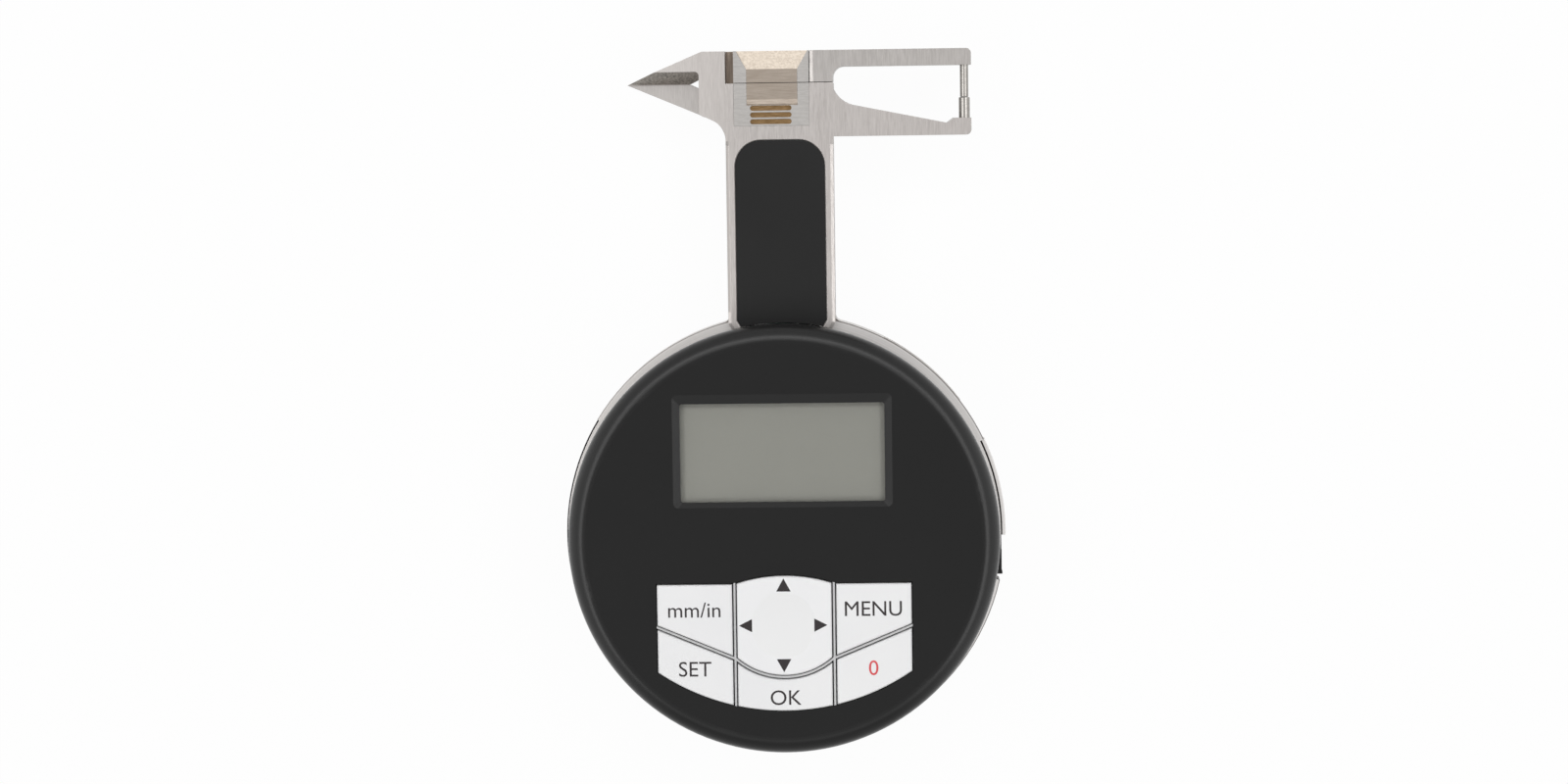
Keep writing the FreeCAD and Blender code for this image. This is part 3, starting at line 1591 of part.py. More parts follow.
def dividers(width, z0, z1):
    """The lines that part the key field, all of one width."""
    low = field_low_apex_y - 3 * OVERCUT
    shapes = []
    for side in (-1, 1):
        x = side * divider_x
        shapes.append(box(x - width / 2, x + width / 2, low, field_top_apex_y + 3 * OVERCUT, z0, z1))
        slope = (divider_outer_y - divider_inner_y) / (field_half_width - divider_x)
        far = field_half_width + 4 * OVERCUT
        shapes.append(bar(x, divider_inner_y, side * far,
                          divider_inner_y + slope * (far - divider_x), width, z0, z1))
    ring = tube(divider_arc_radius + width / 2, divider_arc_radius - width / 2, z0, z1,
                0.0, divider_arc_y)
    below = box(-divider_x, divider_x, low, dish_y - key_gap, z0, z1)
    shapes.append(ring.common(below))
    return shapes[0].multiFuse(shapes[1:])


def front_housing():
    """The black shell: a deep lid with a bevelled window, the key opening and screw bosses."""
    shell = Part.makeCone(housing_low_radius, housing_radius, housing_height, V(0, 0, z_flange))
    shell = shell.makeFillet(housing_edge, top_edges(shell, z_face))
    inner_top = z_face - housing_wall
    shell = shell.cut(disc(housing_inner_radius, z_flange - OVERCUT, inner_top))
    bosses = []
    for angle in housing_screw_angles:
        x, y = polar(housing_screw_radius, angle)
        bosses.append(disc(boss_radius, z_flange, inner_top + 2 * WELD, x, y))
    for x, y in board_screw_places():
        bosses.append(disc(boss_radius, z_board_top, inner_top + 2 * WELD, x, y))
    inside = disc(housing_inner_radius + 3 * WELD, z_flange, inner_top + 3 * WELD)
    bosses = [boss.common(inside) for boss in bosses]
    shape = join(shell, *bosses)
    bevel_low = window_outline(0.0, window_corner)
    bevel_high = window_outline(window_bevel, window_bevel_corner, window_bevel_rise)
    bevel_low.translate(V(0, 0, z_face - window_bevel_depth))
    bevel_high.translate(V(0, 0, z_face + cut_through))
    lens_seat = window_outline(lens_margin + SEAT, lens_corner)
    cuts = [
        Part.makeLoft([bevel_low, bevel_high], True, True),
        plate(window_outline(0.0, window_corner), inner_top - OVERCUT,
              z_face - window_bevel_depth + cut_through),
        plate(lens_seat, inner_top - OVERCUT, z_lens + lens_thickness),
        plate(field_outline(key_margin), inner_top - OVERCUT, z_face + OVERCUT),
    ]
    for angle in housing_screw_angles:
        x, y = polar(housing_screw_radius, angle)
        hole_top = z_flange + housing_screw_bite + 4 * FREE
        cuts.append(disc(screw_radius + SEAT, z_flange - OVERCUT, hole_top, x, y))
    for x, y in board_screw_places():
        hole_top = z_board_top + board_screw_bite + 2 * FREE
        cuts.append(disc(screw_radius + SEAT, z_board_top - OVERCUT, hole_top, x, y))
    return shape.cut(Part.makeCompound(cuts)).cut(ribbon_slot())


def housing_screws():
    shapes = []
    shank = ring_height - housing_head_sunk + housing_screw_bite
    for angle in housing_screw_angles:
        x, y = polar(housing_screw_radius, angle)
        shapes.append(screw(x, y, z_ring + housing_head_sunk - screw_head_height, True, shank))
    return group(shapes)


def pivot_ears(turn, z0, z1):
    """Two ears on one axis of the pad's pivot, each with a hole for its pin."""
    reach = pivot_ear_end + OVERCUT
    hole = Part.makeCylinder(pivot_pin_radius + RUNNING, 2 * reach, V(-reach, 0, z_pivot), V(1, 0, 0))
    ears = []
    for number in range(2):
        ear = box(pivot_ear_start, pivot_ear_end, -pivot_ear_half, pivot_ear_half, z0, z1).cut(hole)
        ear.rotate(V(0, 0, 0), V(0, 0, 1), turn + 180 * number)
        ear.translate(V(0, dish_y, 0))
        ears.append(ear)
    return ears


def keypad_frame():
    """The plate under the keys with the thin light ribs that show between them."""
    base = plate(field_outline(key_plate_margin), z_key_plate, z_key_plate_top)
    rim = plate(field_outline(key_plate_margin), z_key_plate, z_face - housing_wall - SEAT)
    rim = rim.cut(plate(field_outline(key_margin + FREE), z_key_plate, z_face))
    rib_low = z_key_plate_top - WELD
    inside = plate(field_outline(key_margin - SEAT), rib_low, z_face - rib_sunk)
    ribs = dividers(rib_width, rib_low, z_face - rib_sunk).common(inside)
    legs = []
    leg_x = field_half_width - leg_inset
    for y in (field_top_y - leg_radius, field_low_apex_y + leg_rise):
        for x in (-leg_x, leg_x):
            legs.append(disc(leg_radius, z_board_top, z_key_plate + WELD, x, y))
    ears = pivot_ears(0, rib_low, z_pivot + pivot_ear_height)
    shape = base.fuse(rim).fuse(list(ribs.Solids)).fuse(legs).fuse(ears).removeSplitter()
    above_plate = z_key_plate_top + key_travel
    cuts = []
    for x, y in stem_places().values():
        cuts.append(disc(stem_radius + RUNNING, z_key_plate - OVERCUT, above_plate, x, y))
    for x, y in pad_post_places():
        cuts.append(disc(pad_post_radius + pad_post_play, z_key_plate - OVERCUT, above_plate,
                         x, y + dish_y))
    return shape.cut(Part.makeCompound(cuts))


def key_solids():
    """The six caps cut from the key field, by name, with eased edges."""
    field = plate(field_outline(0.0), z_key_cap, z_key_top)
    caps = field.cut(dividers(key_gap, z_key_cap - OVERCUT, z_key_top + OVERCUT)).Solids
    names = dict(stem_places())
    names["nav_pad"] = (0.0, dish_y)
    found = {}
    for cap in caps:
        centre = cap.CenterOfMass
        name = min(names, key=lambda n: math.dist(names[n], (centre.x, centre.y)))
        found[name] = cap.makeChamfer(key_edge, top_edges(cap, z_key_top))
    return found


def push_key(cap, place):
    """A key: its cap, and a stem with a head that stops it under the plate."""
    x, y = place
    stem = disc(stem_radius, z_stem_head, z_key_cap + 2 * WELD, x, y)
    head = disc(stem_head_radius, z_stem_head, z_stem_head + stem_head_height, x, y)
    return join(cap, stem, head)


def nav_pad(cap):
    """The four-way pad: a dished cap with posts over the domes, hung on its pivot."""
    height = dish_half_width ** 2 / (2 * dish_depth) + dish_depth / 2
    ball = Part.makeSphere(height, V(0, 0, 0))
    stretch = FreeCAD.Matrix()
    stretch.scale(V(1, dish_half_height / dish_half_width, 1))
    ball = ball.transformGeometry(stretch)
    ball.translate(V(0, dish_y, z_key_top + height - dish_depth))
    posts = []
    for x, y in pad_post_places():
        posts.append(disc(pad_post_radius, z_board_top + dome_height + pad_tilt_gap,
                          z_key_cap + 2 * WELD, x, y + dish_y))
    side = pivot_ear_end + pivot_ear_play
    end = pivot_ear_end + SLIDING
    hollow = box(-side, side, dish_y - end, dish_y + end, z_key_cap - OVERCUT, z_pivot + pivot_room)
    ears = pivot_ears(90, z_pivot - pivot_ear_height - SLIDING, z_pivot + pivot_room + WELD)
    return cap.cut(ball).cut(hollow).fuse(posts + ears).removeSplitter()


def nav_pivot():
    """The small cross whose pins let the pad rock both ways."""
    half = pivot_core / 2
    core = box(-half, half, dish_y - half, dish_y + half, z_pivot - half, z_pivot + half)
    pins = [
        Part.makeCylinder(pivot_pin_radius, 2 * pivot_pin_reach,
                          V(-pivot_pin_reach, dish_y, z_pivot), V(1, 0, 0)),
        Part.makeCylinder(pivot_pin_radius, 2 * pivot_pin_reach,
                          V(0, dish_y - pivot_pin_reach, z_pivot), V(0, 1, 0)),
    ]
    return join(core, *pins)


# back cover and battery

def lug_sector(grow, z0, z1, turn):
    """The bayonet lugs of the battery cover, or with growth their notches."""
    shapes = []
    half = math.degrees(math.asin((lug_width / 2 + grow / 2) / battery_cover_radius))
    for number in range(lug_count):
        angle = 90 + turn + number * 360 / lug_count
        lug = sector(battery_cover_radius - lug_root, battery_cover_radius + lug_reach + grow,
                     z0, z1, angle - half, angle + half)
        lug.translate(V(0, cell_y, 0))
        shapes.append(lug)
    return shapes


def back_cover():
    """The black cup: floor, wall with the lever's recess, finger rest, battery well, bosses."""
    cup = disc(cup_radius, 0, z_ring)
    cup = cup.makeFillet(cup_edge, top_edges(cup, 0))
    cup = cup.cut(disc(cup_inner_radius, back_floor, z_ring + OVERCUT))
    in_floor = back_floor - 2 * WELD
    wall_margin = math.degrees(cup_wall / track_radius)
    recess_wall = sector(track_radius - cup_wall, track_radius, in_floor, z_ring,
                         track_start - wall_margin, pad_track_end + wall_margin)
    recess = sector(track_radius, flange_radius + OVERCUT, pad_floor - FREE, z_ring + OVERCUT,
                    track_start, pad_track_end)
    rest_play = math.degrees(FREE / flange_radius)
    rest_angles = (rim_flat_start + rest_play, rim_flat_end - rest_play)
    rest_foot = sector(cup_inner_radius + cup_wall / 2, rest_outer_radius, rest_floor, z_ring,
                       *rest_angles)
    rest = sector(rest_inner_radius + SEAT, rest_outer_radius, z_ring - OVERCUT, z_rest_top,
                  *rest_angles)
    well = disc(well_radius, in_floor, z_well_roof + well_roof, 0, cell_y)
    bosses = []
    for angle in cover_screw_angles:
        x, y = polar(cover_screw_radius, angle)
        bosses.append(disc(cover_boss_radius, in_floor, z_ring, x, y))
    inside = disc(cup_radius - cup_wall / 4, cup_wall / 4, z_ring)
    bosses = [boss.common(inside) for boss in bosses]
    shape = join(cup, recess_wall, rest_foot, rest, well.common(inside), *bosses)
    z_lug_top = back_floor + lug_height + 3 * FREE
    notch = cell_play
    cuts = [
        recess,
        disc(battery_cover_radius + FREE, -OVERCUT, back_floor + cut_through, 0, cell_y),
        disc(battery_cover_radius + lug_reach + 2 * FREE, back_floor, z_lug_top, 0, cell_y),
        disc(cell_radius + cell_play, back_floor, z_well_roof, 0, cell_y),
        box(-neck_half_width - FREE, neck_half_width + FREE, cup_inner_radius - 2 * OVERCUT,
            cup_radius + OVERCUT, z_back - FREE, z_ring + OVERCUT),
        box(-contact_reach - OVERCUT, contact_reach + OVERCUT, cell_y - contact_width / 2 - FREE,
            cell_y + contact_width / 2 + FREE,
            z_well_roof - contact_thickness - FREE, z_well_roof),
    ]
    cuts += lug_sector(notch, -OVERCUT, z_lug_top - FREE, unlock_turn)
    for angle in cover_screw_angles:
        x, y = polar(cover_screw_radius, angle)
        cuts.append(disc(screw_radius + FREE, -OVERCUT, z_ring + OVERCUT, x, y))
        cuts.append(disc(screw_head_radius + 2 * FREE, -OVERCUT, cover_seat_depth, x, y))
    return shape.cut(Part.makeCompound(cuts))


def back_cover_screws():
    shapes = []
    shank = z_lever - 5 * FREE - cover_seat_depth
    for angle in cover_screw_angles:
        x, y = polar(cover_screw_radius, angle)
        shapes.append(screw(x, y, cover_seat_depth - screw_head_height, True, shank))
    return group(shapes)


def seal_ring(radius):
    """The seal, or with more radius its groove, in the edge of the battery cover."""
    height = battery_cover_sunk + battery_cover_thickness - seal_radius - FREE
    return Part.makeTorus(battery_cover_radius - seal_radius + seal_proud, radius,
                          V(0, cell_y, height))


def battery_cover():
    """The round cover with a coin slot and three bayonet lugs."""
    z1 = battery_cover_sunk + battery_cover_thickness
    shape = disc(battery_cover_radius, battery_cover_sunk, z1, 0, cell_y)
    shape = shape.makeChamfer(battery_cover_edge, top_edges(shape, battery_cover_sunk))
    lug_z = back_floor + FREE
    stems = []
    half = math.degrees(math.asin(lug_width / 2 / battery_cover_radius))
    for number in range(lug_count):
        angle = 90 + number * 360 / lug_count
        stem = sector(cell_radius + lug_stem_gap, battery_cover_radius, z1 - 3 * WELD,
                      lug_z + lug_height, angle - half, angle + half)
        stem.translate(V(0, cell_y, 0))
        stems.append(stem)
    lugs = [lug.cut(disc(cell_radius + lug_stem_gap, 0, z_ring, 0, cell_y))
            for lug in lug_sector(0.0, lug_z, lug_z + lug_height, 0.0)]
    slot = box(-coin_slot_length / 2, coin_slot_length / 2, cell_y - coin_slot_width / 2,
               cell_y + coin_slot_width / 2, -OVERCUT, battery_cover_sunk + coin_slot_depth)
    return join(shape, *stems, *lugs).cut(slot).cut(seal_ring(seal_radius))


def battery_seal():
    """The rubber ring in the edge of the battery cover."""
    return seal_ring(seal_radius - SEAT)


def coin_cell():
    """The round cell: a can with a narrower lid towards the roof."""
    z0 = z_cell + 2 * SEAT
    return join(
        disc(cell_radius, z0, z0 + cell_thickness * cell_can_share, 0, cell_y),
        disc(cell_radius * cell_lid_share, z0, z0 + cell_thickness, 0, cell_y),
    )


def cell_contact(side):
    """A flat spring in the roof's slot, bent up to the board."""
    z1 = z_well_roof
    z0 = z1 - contact_thickness
    inner = cell_radius * (contact_low_share if side < 0 else contact_high_share)
    y0 = cell_y - contact_width / 2
    y1 = cell_y + contact_width / 2
    outer = contact_reach
    flat = box(min(side * inner, side * outer), max(side * inner, side * outer), y0, y1, z0, z1)
    tail_x = side * outer
    out = side * (well_radius + 2 * FREE)
    run = box(min(tail_x, out), max(tail_x, out), y0, y1, z0, z1)
    riser_far = out + side * contact_thickness
    riser = box(min(out, riser_far), max(out, riser_far), y0, y1, z0, z_board)
    return join(flat, run, riser)


def neck_cover():
    """The black panel set into the neck."""
    z1 = z_front - neck_cover_sunk
    shape = plate(neck_cover_outline(0.0), z_cover_floor, z1)
    return shape.cut(disc(neck_foot_radius() + FREE, z_cover_floor - OVERCUT, z1 + OVERCUT))


def build():
    """Every piece by name."""
    caps = key_solids()
    pieces = {
        "frame_casting": frame_casting(),
        "back_cover": back_cover(),
        "back_cover_screws": back_cover_screws(),
        "front_housing": front_housing(),
        "housing_screws": housing_screws(),
        "neck_cover": neck_cover(),
        "display_lens": display_lens(),
        "lcd_panel": lcd_panel(),
        "lcd_holder": lcd_holder(),
        "contact_strips": contact_strips(),
        "circuit_board": circuit_board(),
        "board_screws": board_screws(),
        "board_chips": board_chips(),
        "dome_contacts": dome_contacts(),
        "keypad_frame": keypad_frame(),
        "lower_block": lower_block(),
        "lower_anvil": lower_anvil(),
        "block_screws": block_screws(),
        "lower_pin": measuring_pin(anvil_arm_top_y, pin_meet_y, lower_pin_radius),
        "guide_bushes": guide_bushes(),
        "bridge_plate": bridge_plate(),
        "bridge_screws": bridge_screws(),
        "lever_axle": lever_axle(),
        "gear_axle": gear_axle(),
        "axle_clip": axle_clip(),
        "return_spring": return_spring(),
        "coin_cell": coin_cell(),
        "cell_contact_minus": cell_contact(-1),
        "cell_contact_plus": cell_contact(1),
        "sensor_board": sensor_board(),
        "sensor_ribbon": sensor_ribbon(),
        "carriage_plate": carriage_plate(),
        "upper_block": upper_block(),
        "upper_anvil": upper_anvil(),
        "upper_pin": measuring_pin(arm_low_y, pin_meet_y + closing_gap, upper_pin_radius),
        "slide_rod": slide_rod(),
        "scale_strip": scale_strip(),
        "carriage_screws": carriage_screws(),
        "thumb_lever": thumb_lever(),
        "thumb_pad": thumb_pad(),
        "drive_gear": drive_gear(),
        "pinion": pinion(),
        "nav_pad": nav_pad(caps["nav_pad"]),
        "nav_pivot": nav_pivot(),
        "battery_cover": battery_cover(),
        "battery_seal": battery_seal(),
    }
    for name, place in stem_places().items():
        pieces[name] = push_key(caps[name], place)
    return pieces


os.makedirs("parts", exist_ok=True)
for node, piece in build().items():
    piece.exportStep("parts/" + node + ".step")
    if not piece.isValid() or not piece.Solids:
        print("check the shape of", node)
print("lever swing in degrees", round(lever_swing, 3))
print("gear axle at", round(gear_x, 3), round(gear_y, 3))
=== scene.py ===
import math

import bmesh
import bpy
from mathutils import Matrix, Quaternion, Vector


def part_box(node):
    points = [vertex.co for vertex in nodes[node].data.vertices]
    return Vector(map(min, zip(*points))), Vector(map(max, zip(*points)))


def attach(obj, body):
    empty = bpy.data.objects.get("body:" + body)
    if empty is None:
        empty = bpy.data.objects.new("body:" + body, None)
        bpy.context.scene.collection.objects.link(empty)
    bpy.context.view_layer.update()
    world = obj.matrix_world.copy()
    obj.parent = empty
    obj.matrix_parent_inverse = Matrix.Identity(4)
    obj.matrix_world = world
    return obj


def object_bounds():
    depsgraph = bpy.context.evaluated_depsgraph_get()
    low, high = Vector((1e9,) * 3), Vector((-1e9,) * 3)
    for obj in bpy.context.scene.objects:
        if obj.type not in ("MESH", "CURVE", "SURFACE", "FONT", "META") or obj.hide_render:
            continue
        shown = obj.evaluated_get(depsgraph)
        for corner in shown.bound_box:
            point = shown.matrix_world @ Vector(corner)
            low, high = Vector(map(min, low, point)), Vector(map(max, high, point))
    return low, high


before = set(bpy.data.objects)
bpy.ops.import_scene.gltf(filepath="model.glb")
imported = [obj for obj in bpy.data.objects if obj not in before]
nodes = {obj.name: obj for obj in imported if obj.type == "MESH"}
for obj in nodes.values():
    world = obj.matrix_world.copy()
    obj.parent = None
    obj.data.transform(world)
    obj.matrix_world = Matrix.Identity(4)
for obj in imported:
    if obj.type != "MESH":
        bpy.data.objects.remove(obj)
cad_low, cad_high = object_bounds()
MM = 0.001


# colours and finishes

def tone(red, green, blue):
    """A colour as it looks on a screen, 0 to 255, turned into the light it sends back."""
    parts = []
    for value in (red, green, blue):
        share = value / 255
        parts.append(share / 12.92 if share <= 0.04045 else ((share + 0.055) / 1.055) ** 2.4)
    return (*parts, 1.0)


REGION_BLUR = 0.02 * MM


class Finish:
    """One procedural finish: a surface shader, and the patterns that drive it."""

    def __init__(self, name, metallic=0.0, gloss=0.5):
        self.material = bpy.data.materials.new(name)
        self.material.use_nodes = True
        self.tree = self.material.node_tree
        self.surface = self.tree.nodes["Principled BSDF"]
        self.surface.inputs["Metallic"].default_value = metallic
        self.surface.inputs["Specular IOR Level"].default_value = gloss
        self.place = self.tree.nodes.new("ShaderNodeTexCoord").outputs["Object"]
        self.normal = None

    def link(self, start, end):
        self.tree.links.new(start, end)

    def stretched(self, scale, centre=(0, 0, 0)):
        """The place on the piece, in metres, times a scale along each axis."""
        mapping = self.tree.nodes.new("ShaderNodeMapping")
        mapping.inputs["Location"].default_value = [-c * s for c, s in zip(centre, scale)]
        mapping.inputs["Scale"].default_value = scale
        self.link(self.place, mapping.inputs["Vector"])
        return mapping.outputs["Vector"]

    def noise(self, scale, detail=3.0, rough=0.6):
        """A cloudy pattern: scale is its waves per metre along each axis."""
        node = self.tree.nodes.new("ShaderNodeTexNoise")
        node.inputs["Scale"].default_value = 1.0
        node.inputs["Detail"].default_value = detail
        node.inputs["Roughness"].default_value = rough
        self.link(self.stretched(scale), node.inputs["Vector"])
        return node.outputs["Fac"]

    def spread(self, value, low, high, start=0.3, end=0.7):
        """A pattern's values from start to end, spread between low and high."""
        node = self.tree.nodes.new("ShaderNodeMapRange")
        for label, number in (("From Min", start), ("From Max", end),
                              ("To Min", low), ("To Max", high)):
            node.inputs[label].default_value = number
        self.link(value, node.inputs["Value"])
        return node.outputs["Result"]

    def product(self, *patterns):
        """Patterns times each other: a region is where all of them are 1."""
        total = patterns[0]
        for pattern in patterns[1:]:
            node = self.tree.nodes.new("ShaderNodeMath")
            node.operation = "MULTIPLY"
            self.link(total, node.inputs[0])
            self.link(pattern, node.inputs[1])
            total = node.outputs[0]
        return total

    def place_parts(self):
        """The place's X, Y and Z, each as a pattern in metres."""
        parts = self.tree.nodes.new("ShaderNodeSeparateXYZ")
        self.link(self.place, parts.inputs["Vector"])
        return parts.outputs["X"], parts.outputs["Y"], parts.outputs["Z"]

    def above(self, pattern, level, blur=REGION_BLUR):
        """1 where a pattern is over a level, 0 where it is under, in metres."""
        return self.spread(pattern, 0.0, 1.0, level, level + blur)

    def below(self, pattern, level, blur=REGION_BLUR):
        """1 where a pattern is under a level, 0 where it is over, in metres."""
        return self.spread(pattern, 1.0, 0.0, level - blur, level)

    def inside(self, low, high):
        """1 inside a box with its corners in mm; None leaves that side of it open."""
        limits = []
        for pattern, start, end in zip(self.place_parts(), low, high):
            if start is not None:
                limits.append(self.above(pattern, start * MM))
            if end is not None:
                limits.append(self.below(pattern, end * MM))
        return self.product(*limits)

    def reach(self):
        """The distance from the case's middle line, as a pattern in metres."""
        x, y, _ = self.place_parts()
        plan = self.tree.nodes.new("ShaderNodeCombineXYZ")
        self.link(x, plan.inputs["X"])
        self.link(y, plan.inputs["Y"])
        length = self.tree.nodes.new("ShaderNodeVectorMath")
        length.operation = "LENGTH"
        self.link(plan.outputs["Vector"], length.inputs[0])
        return length.outputs["Value"]

    def turned_lines(self, waves):
        """Lines that run round the case's middle line, as a lathe leaves them."""
        rings = self.tree.nodes.new("ShaderNodeCombineXYZ")
        self.link(self.reach(), rings.inputs["X"])
        self.link(self.place_parts()[2], rings.inputs["Z"])
        lines = self.tree.nodes.new("ShaderNodeTexNoise")
        lines.inputs["Scale"].default_value = waves
        lines.inputs["Detail"].default_value = 3.0
        self.link(rings.outputs["Vector"], lines.inputs["Vector"])
        return lines.outputs["Fac"]

    def now(self, label):
        """What is linked to a socket of the surface so far."""
        return self.surface.inputs[label].links[0].from_socket

    def paint(self, share, colour):
        """The colour so far, turned into another one where the share is 1."""
        self.colour(self.blend(share, self.now("Base Color"), colour))

    def smooth_to(self, share, value):
        """The roughness so far, turned into another value where the share is 1."""
        node = self.tree.nodes.new("ShaderNodeMix")
        self.link(share, node.inputs["Factor"])
        self.link(self.now("Roughness"), node.inputs["A"])
        node.inputs["B"].default_value = value
        self.roughness(node.outputs["Result"])

    def blend(self, share, first, second):
        """One colour or pattern at share 0 and another at share 1."""
        node = self.tree.nodes.new("ShaderNodeMix")
        node.data_type = "RGBA"
        self.link(share, node.inputs["Factor"])
        for socket, colour in ((node.inputs["A"], first), (node.inputs["B"], second)):
            if isinstance(colour, tuple):
                socket.default_value = colour
            else:
                self.link(colour, socket)
        return node.outputs["Result"]

    def colour(self, value):
        self.link(value, self.surface.inputs["Base Color"])

    def roughness(self, value):
        self.link(value, self.surface.inputs["Roughness"])

    def turn_surface(self, node):
        """Stacks a node that turns the surface's normal on the ones before it."""
        if self.normal:
            self.link(self.normal, node.inputs["Normal"])
        self.normal = node.outputs["Normal"]
        self.link(self.normal, self.surface.inputs["Normal"])

    def soft_edges(self, radius):
        """Sharp edges catch the light as if they were rounded by a radius in metres."""
        node = self.tree.nodes.new("ShaderNodeBevel")
        node.inputs["Radius"].default_value = radius
        self.turn_surface(node)

    def relief(self, height, depth):
        """Bumps of a depth in metres, from a pattern of 0 to 1."""
        node = self.tree.nodes.new("ShaderNodeBump")
        node.inputs["Distance"].default_value = depth
        self.link(height, node.inputs["Height"])
        self.turn_surface(node)


def brushed(name, light, dark, roughness, lines=(5200, 420, 3000), depth=0.0000025, edge=0.0):
    """Metal with brushed lines of two widths, cloudy patches and rounded edges."""
    finish = Finish(name, metallic=1.0)
    if edge:
        finish.soft_edges(edge)
    fine = finish.noise(lines, detail=4.0, rough=0.65)
    broad = finish.noise([wave / 3.5 for wave in lines], detail=2.0)
    clouds = finish.noise((110, 80, 110), detail=2.0)
    streaks = finish.blend(finish.spread(fine, 0.0, 1.0, 0.36, 0.64), dark, light)
    bands = finish.blend(finish.spread(broad, 0.0, 0.25), streaks, light)
    finish.colour(finish.blend(finish.spread(clouds, 0.0, 0.25), bands, dark))
    low, high = roughness
    finish.roughness(finish.spread(fine, high, low))
    finish.relief(fine, depth)
    return finish


def brushed_metal(*colours, **pattern):
    return brushed(*colours, **pattern).material


FRAME_LIGHT = tone(187, 182, 179)
FRAME_DARK = tone(160, 155, 152)
FLANGE_LIGHT = tone(222, 219, 217)
FLANGE_DARK = tone(200, 197, 195)
FLANGE_RIM_SHADE = tone(118, 113, 110)
FLANGE_ROUGHNESS = 0.42
FLANGE_RADIUS = 32.7 * MM
FLANGE_TOP = 10.05 * MM
RIM_RADIUS = 32.36 * MM
RIM_FOOT = 9.5 * MM


def frame_finish(name):
    """The frame: neck and head are brushed along Y, the flange is turned, and its outer rim gets
    painted shade.
    """
    finish = brushed(name, FRAME_LIGHT, FRAME_DARK, (0.3, 0.4), edge=0.1 * MM)
    z = finish.place_parts()[2]
    reach = finish.reach()
    turned = finish.blend(finish.spread(finish.turned_lines(4200), 0.0, 1.0),
                          FLANGE_DARK, FLANGE_LIGHT)
    flange = finish.product(finish.below(reach, FLANGE_RADIUS), finish.below(z, FLANGE_TOP))
    finish.paint(flange, turned)
    finish.smooth_to(flange, FLANGE_ROUGHNESS)
    # painted shade: the flange's outer side wall is coloured dark, as it looks when seen at a
    # slant
    rim = finish.product(flange, finish.above(reach, RIM_RADIUS), finish.above(z, RIM_FOOT))
    finish.paint(rim, FLANGE_RIM_SHADE)
    return finish


KNIFE_LIGHT = tone(156, 150, 142)
KNIFE_DARK = tone(78, 74, 70)
KNIFE_BEVEL = ((None, 66.2, 8.2), (-11.6, 68.2, 11.76))
JAW_LIGHT = tone(210, 205, 201)
JAW_SHARE = 0.35
JAW_FADE = (-16 * MM, -4 * MM)
NECK_EDGE_SHADE = tone(150, 146, 143)
NECK_EDGE = ((-8.2, 33.0, 9.7), (None, 58.0, None))
NECK_EDGE_END = -7.35 * MM
NECK_EDGE_FADE = 0.2 * MM


def frame_steel_finish():
    """The frame's steel, with a roughly ground, dark bevel over the fixed knife edge, and painted
    shade on the neck's left chamfer.
    """
    finish = frame_finish("frame_steel")
    x = finish.place_parts()[0]
    finish.paint(finish.spread(x, JAW_SHARE, 0.0, *JAW_FADE), JAW_LIGHT)
    # painted shade: the chamfer along the neck's left edge is coloured darker
    edge = finish.below(x, NECK_EDGE_END, NECK_EDGE_FADE)
    finish.paint(finish.product(finish.inside(*NECK_EDGE), edge), NECK_EDGE_SHADE)
    fine = finish.noise((3400, 3400, 3400), detail=2.0)
    scores = finish.noise((3000, 600, 600), detail=2.0)
    grit = finish.blend(finish.spread(fine, 0.0, 1.0, 0.36, 0.64), KNIFE_DARK, KNIFE_LIGHT)
    ground = finish.blend(finish.spread(scores, 0.0, 0.5), grit, KNIFE_LIGHT)
    finish.paint(finish.inside(*KNIFE_BEVEL), ground)
    return finish.material


LEVER_SLIT_SHADE = tone(38, 36, 35)
SHOE_INNER_RADIUS = 32.14 * MM


def lever_steel_finish():
    """The lever is painted near-black inside the shoe's radius as painted shade, where it shows
    down the slit; the shoe on the case's side keeps its steel.
    """
    finish = frame_finish("lever_steel")
    # painted shade: the lever's ledge seen down the slit is coloured near-black
    finish.paint(finish.below(finish.reach(), SHOE_INNER_RADIUS), LEVER_SLIT_SHADE)
    return finish.material


CARRIAGE_LIGHT = tone(177, 173, 170)
CARRIAGE_DARK = tone(153, 149, 146)
BLADE_LIGHT = tone(204, 199, 196)
BLADE_SHARE = 0.22
BLADE_FADE = (-12 * MM, -9 * MM)
SLOT_SHADE_LIGHT = tone(150, 137, 125)
SLOT_SHADE_DARK = tone(112, 100, 90)
SHADED_SLOT_FLOOR = ((-7.82, 66.4, 7.0), (-6.3, None, 8.6))


def carriage_steel_finish():
    """The sliding half of the head: the floor of its slot beside the blocks gets a dark, brownish
    painted shade.
    """
    finish = brushed("carriage_steel", CARRIAGE_LIGHT, CARRIAGE_DARK, (0.32, 0.4), edge=0.1 * MM)
    x = finish.place_parts()[0]
    lines = finish.noise((5200, 260, 5200), detail=2.0)
    shade_brown = finish.blend(finish.spread(lines, 0.0, 1.0), SLOT_SHADE_DARK, SLOT_SHADE_LIGHT)
    # painted shade: the slot floor beside the blocks is coloured dark and brownish
    finish.paint(finish.inside(*SHADED_SLOT_FLOOR), shade_brown)
    finish.paint(finish.spread(x, BLADE_SHARE, 0.0, *BLADE_FADE), BLADE_LIGHT)
    return finish.material


BRASS_LIGHT = tone(166, 155, 144)
BRASS_DARK = tone(145, 134, 123)
BRASS_LINES = (420, 5200, 3000)
SLOPE_HIGHLIGHT_LIGHT = tone(230, 218, 203)
SLOPE_HIGHLIGHT_DARK = tone(203, 190, 175)
SLOPE_START = 68.4 * MM
GROOVE_SHADE_LIGHT = tone(150, 122, 88)
GROOVE_SHADE_DARK = tone(112, 88, 58)
GROOVE_START = 0.4 * MM
GROOVE_FADE = 0.2 * MM


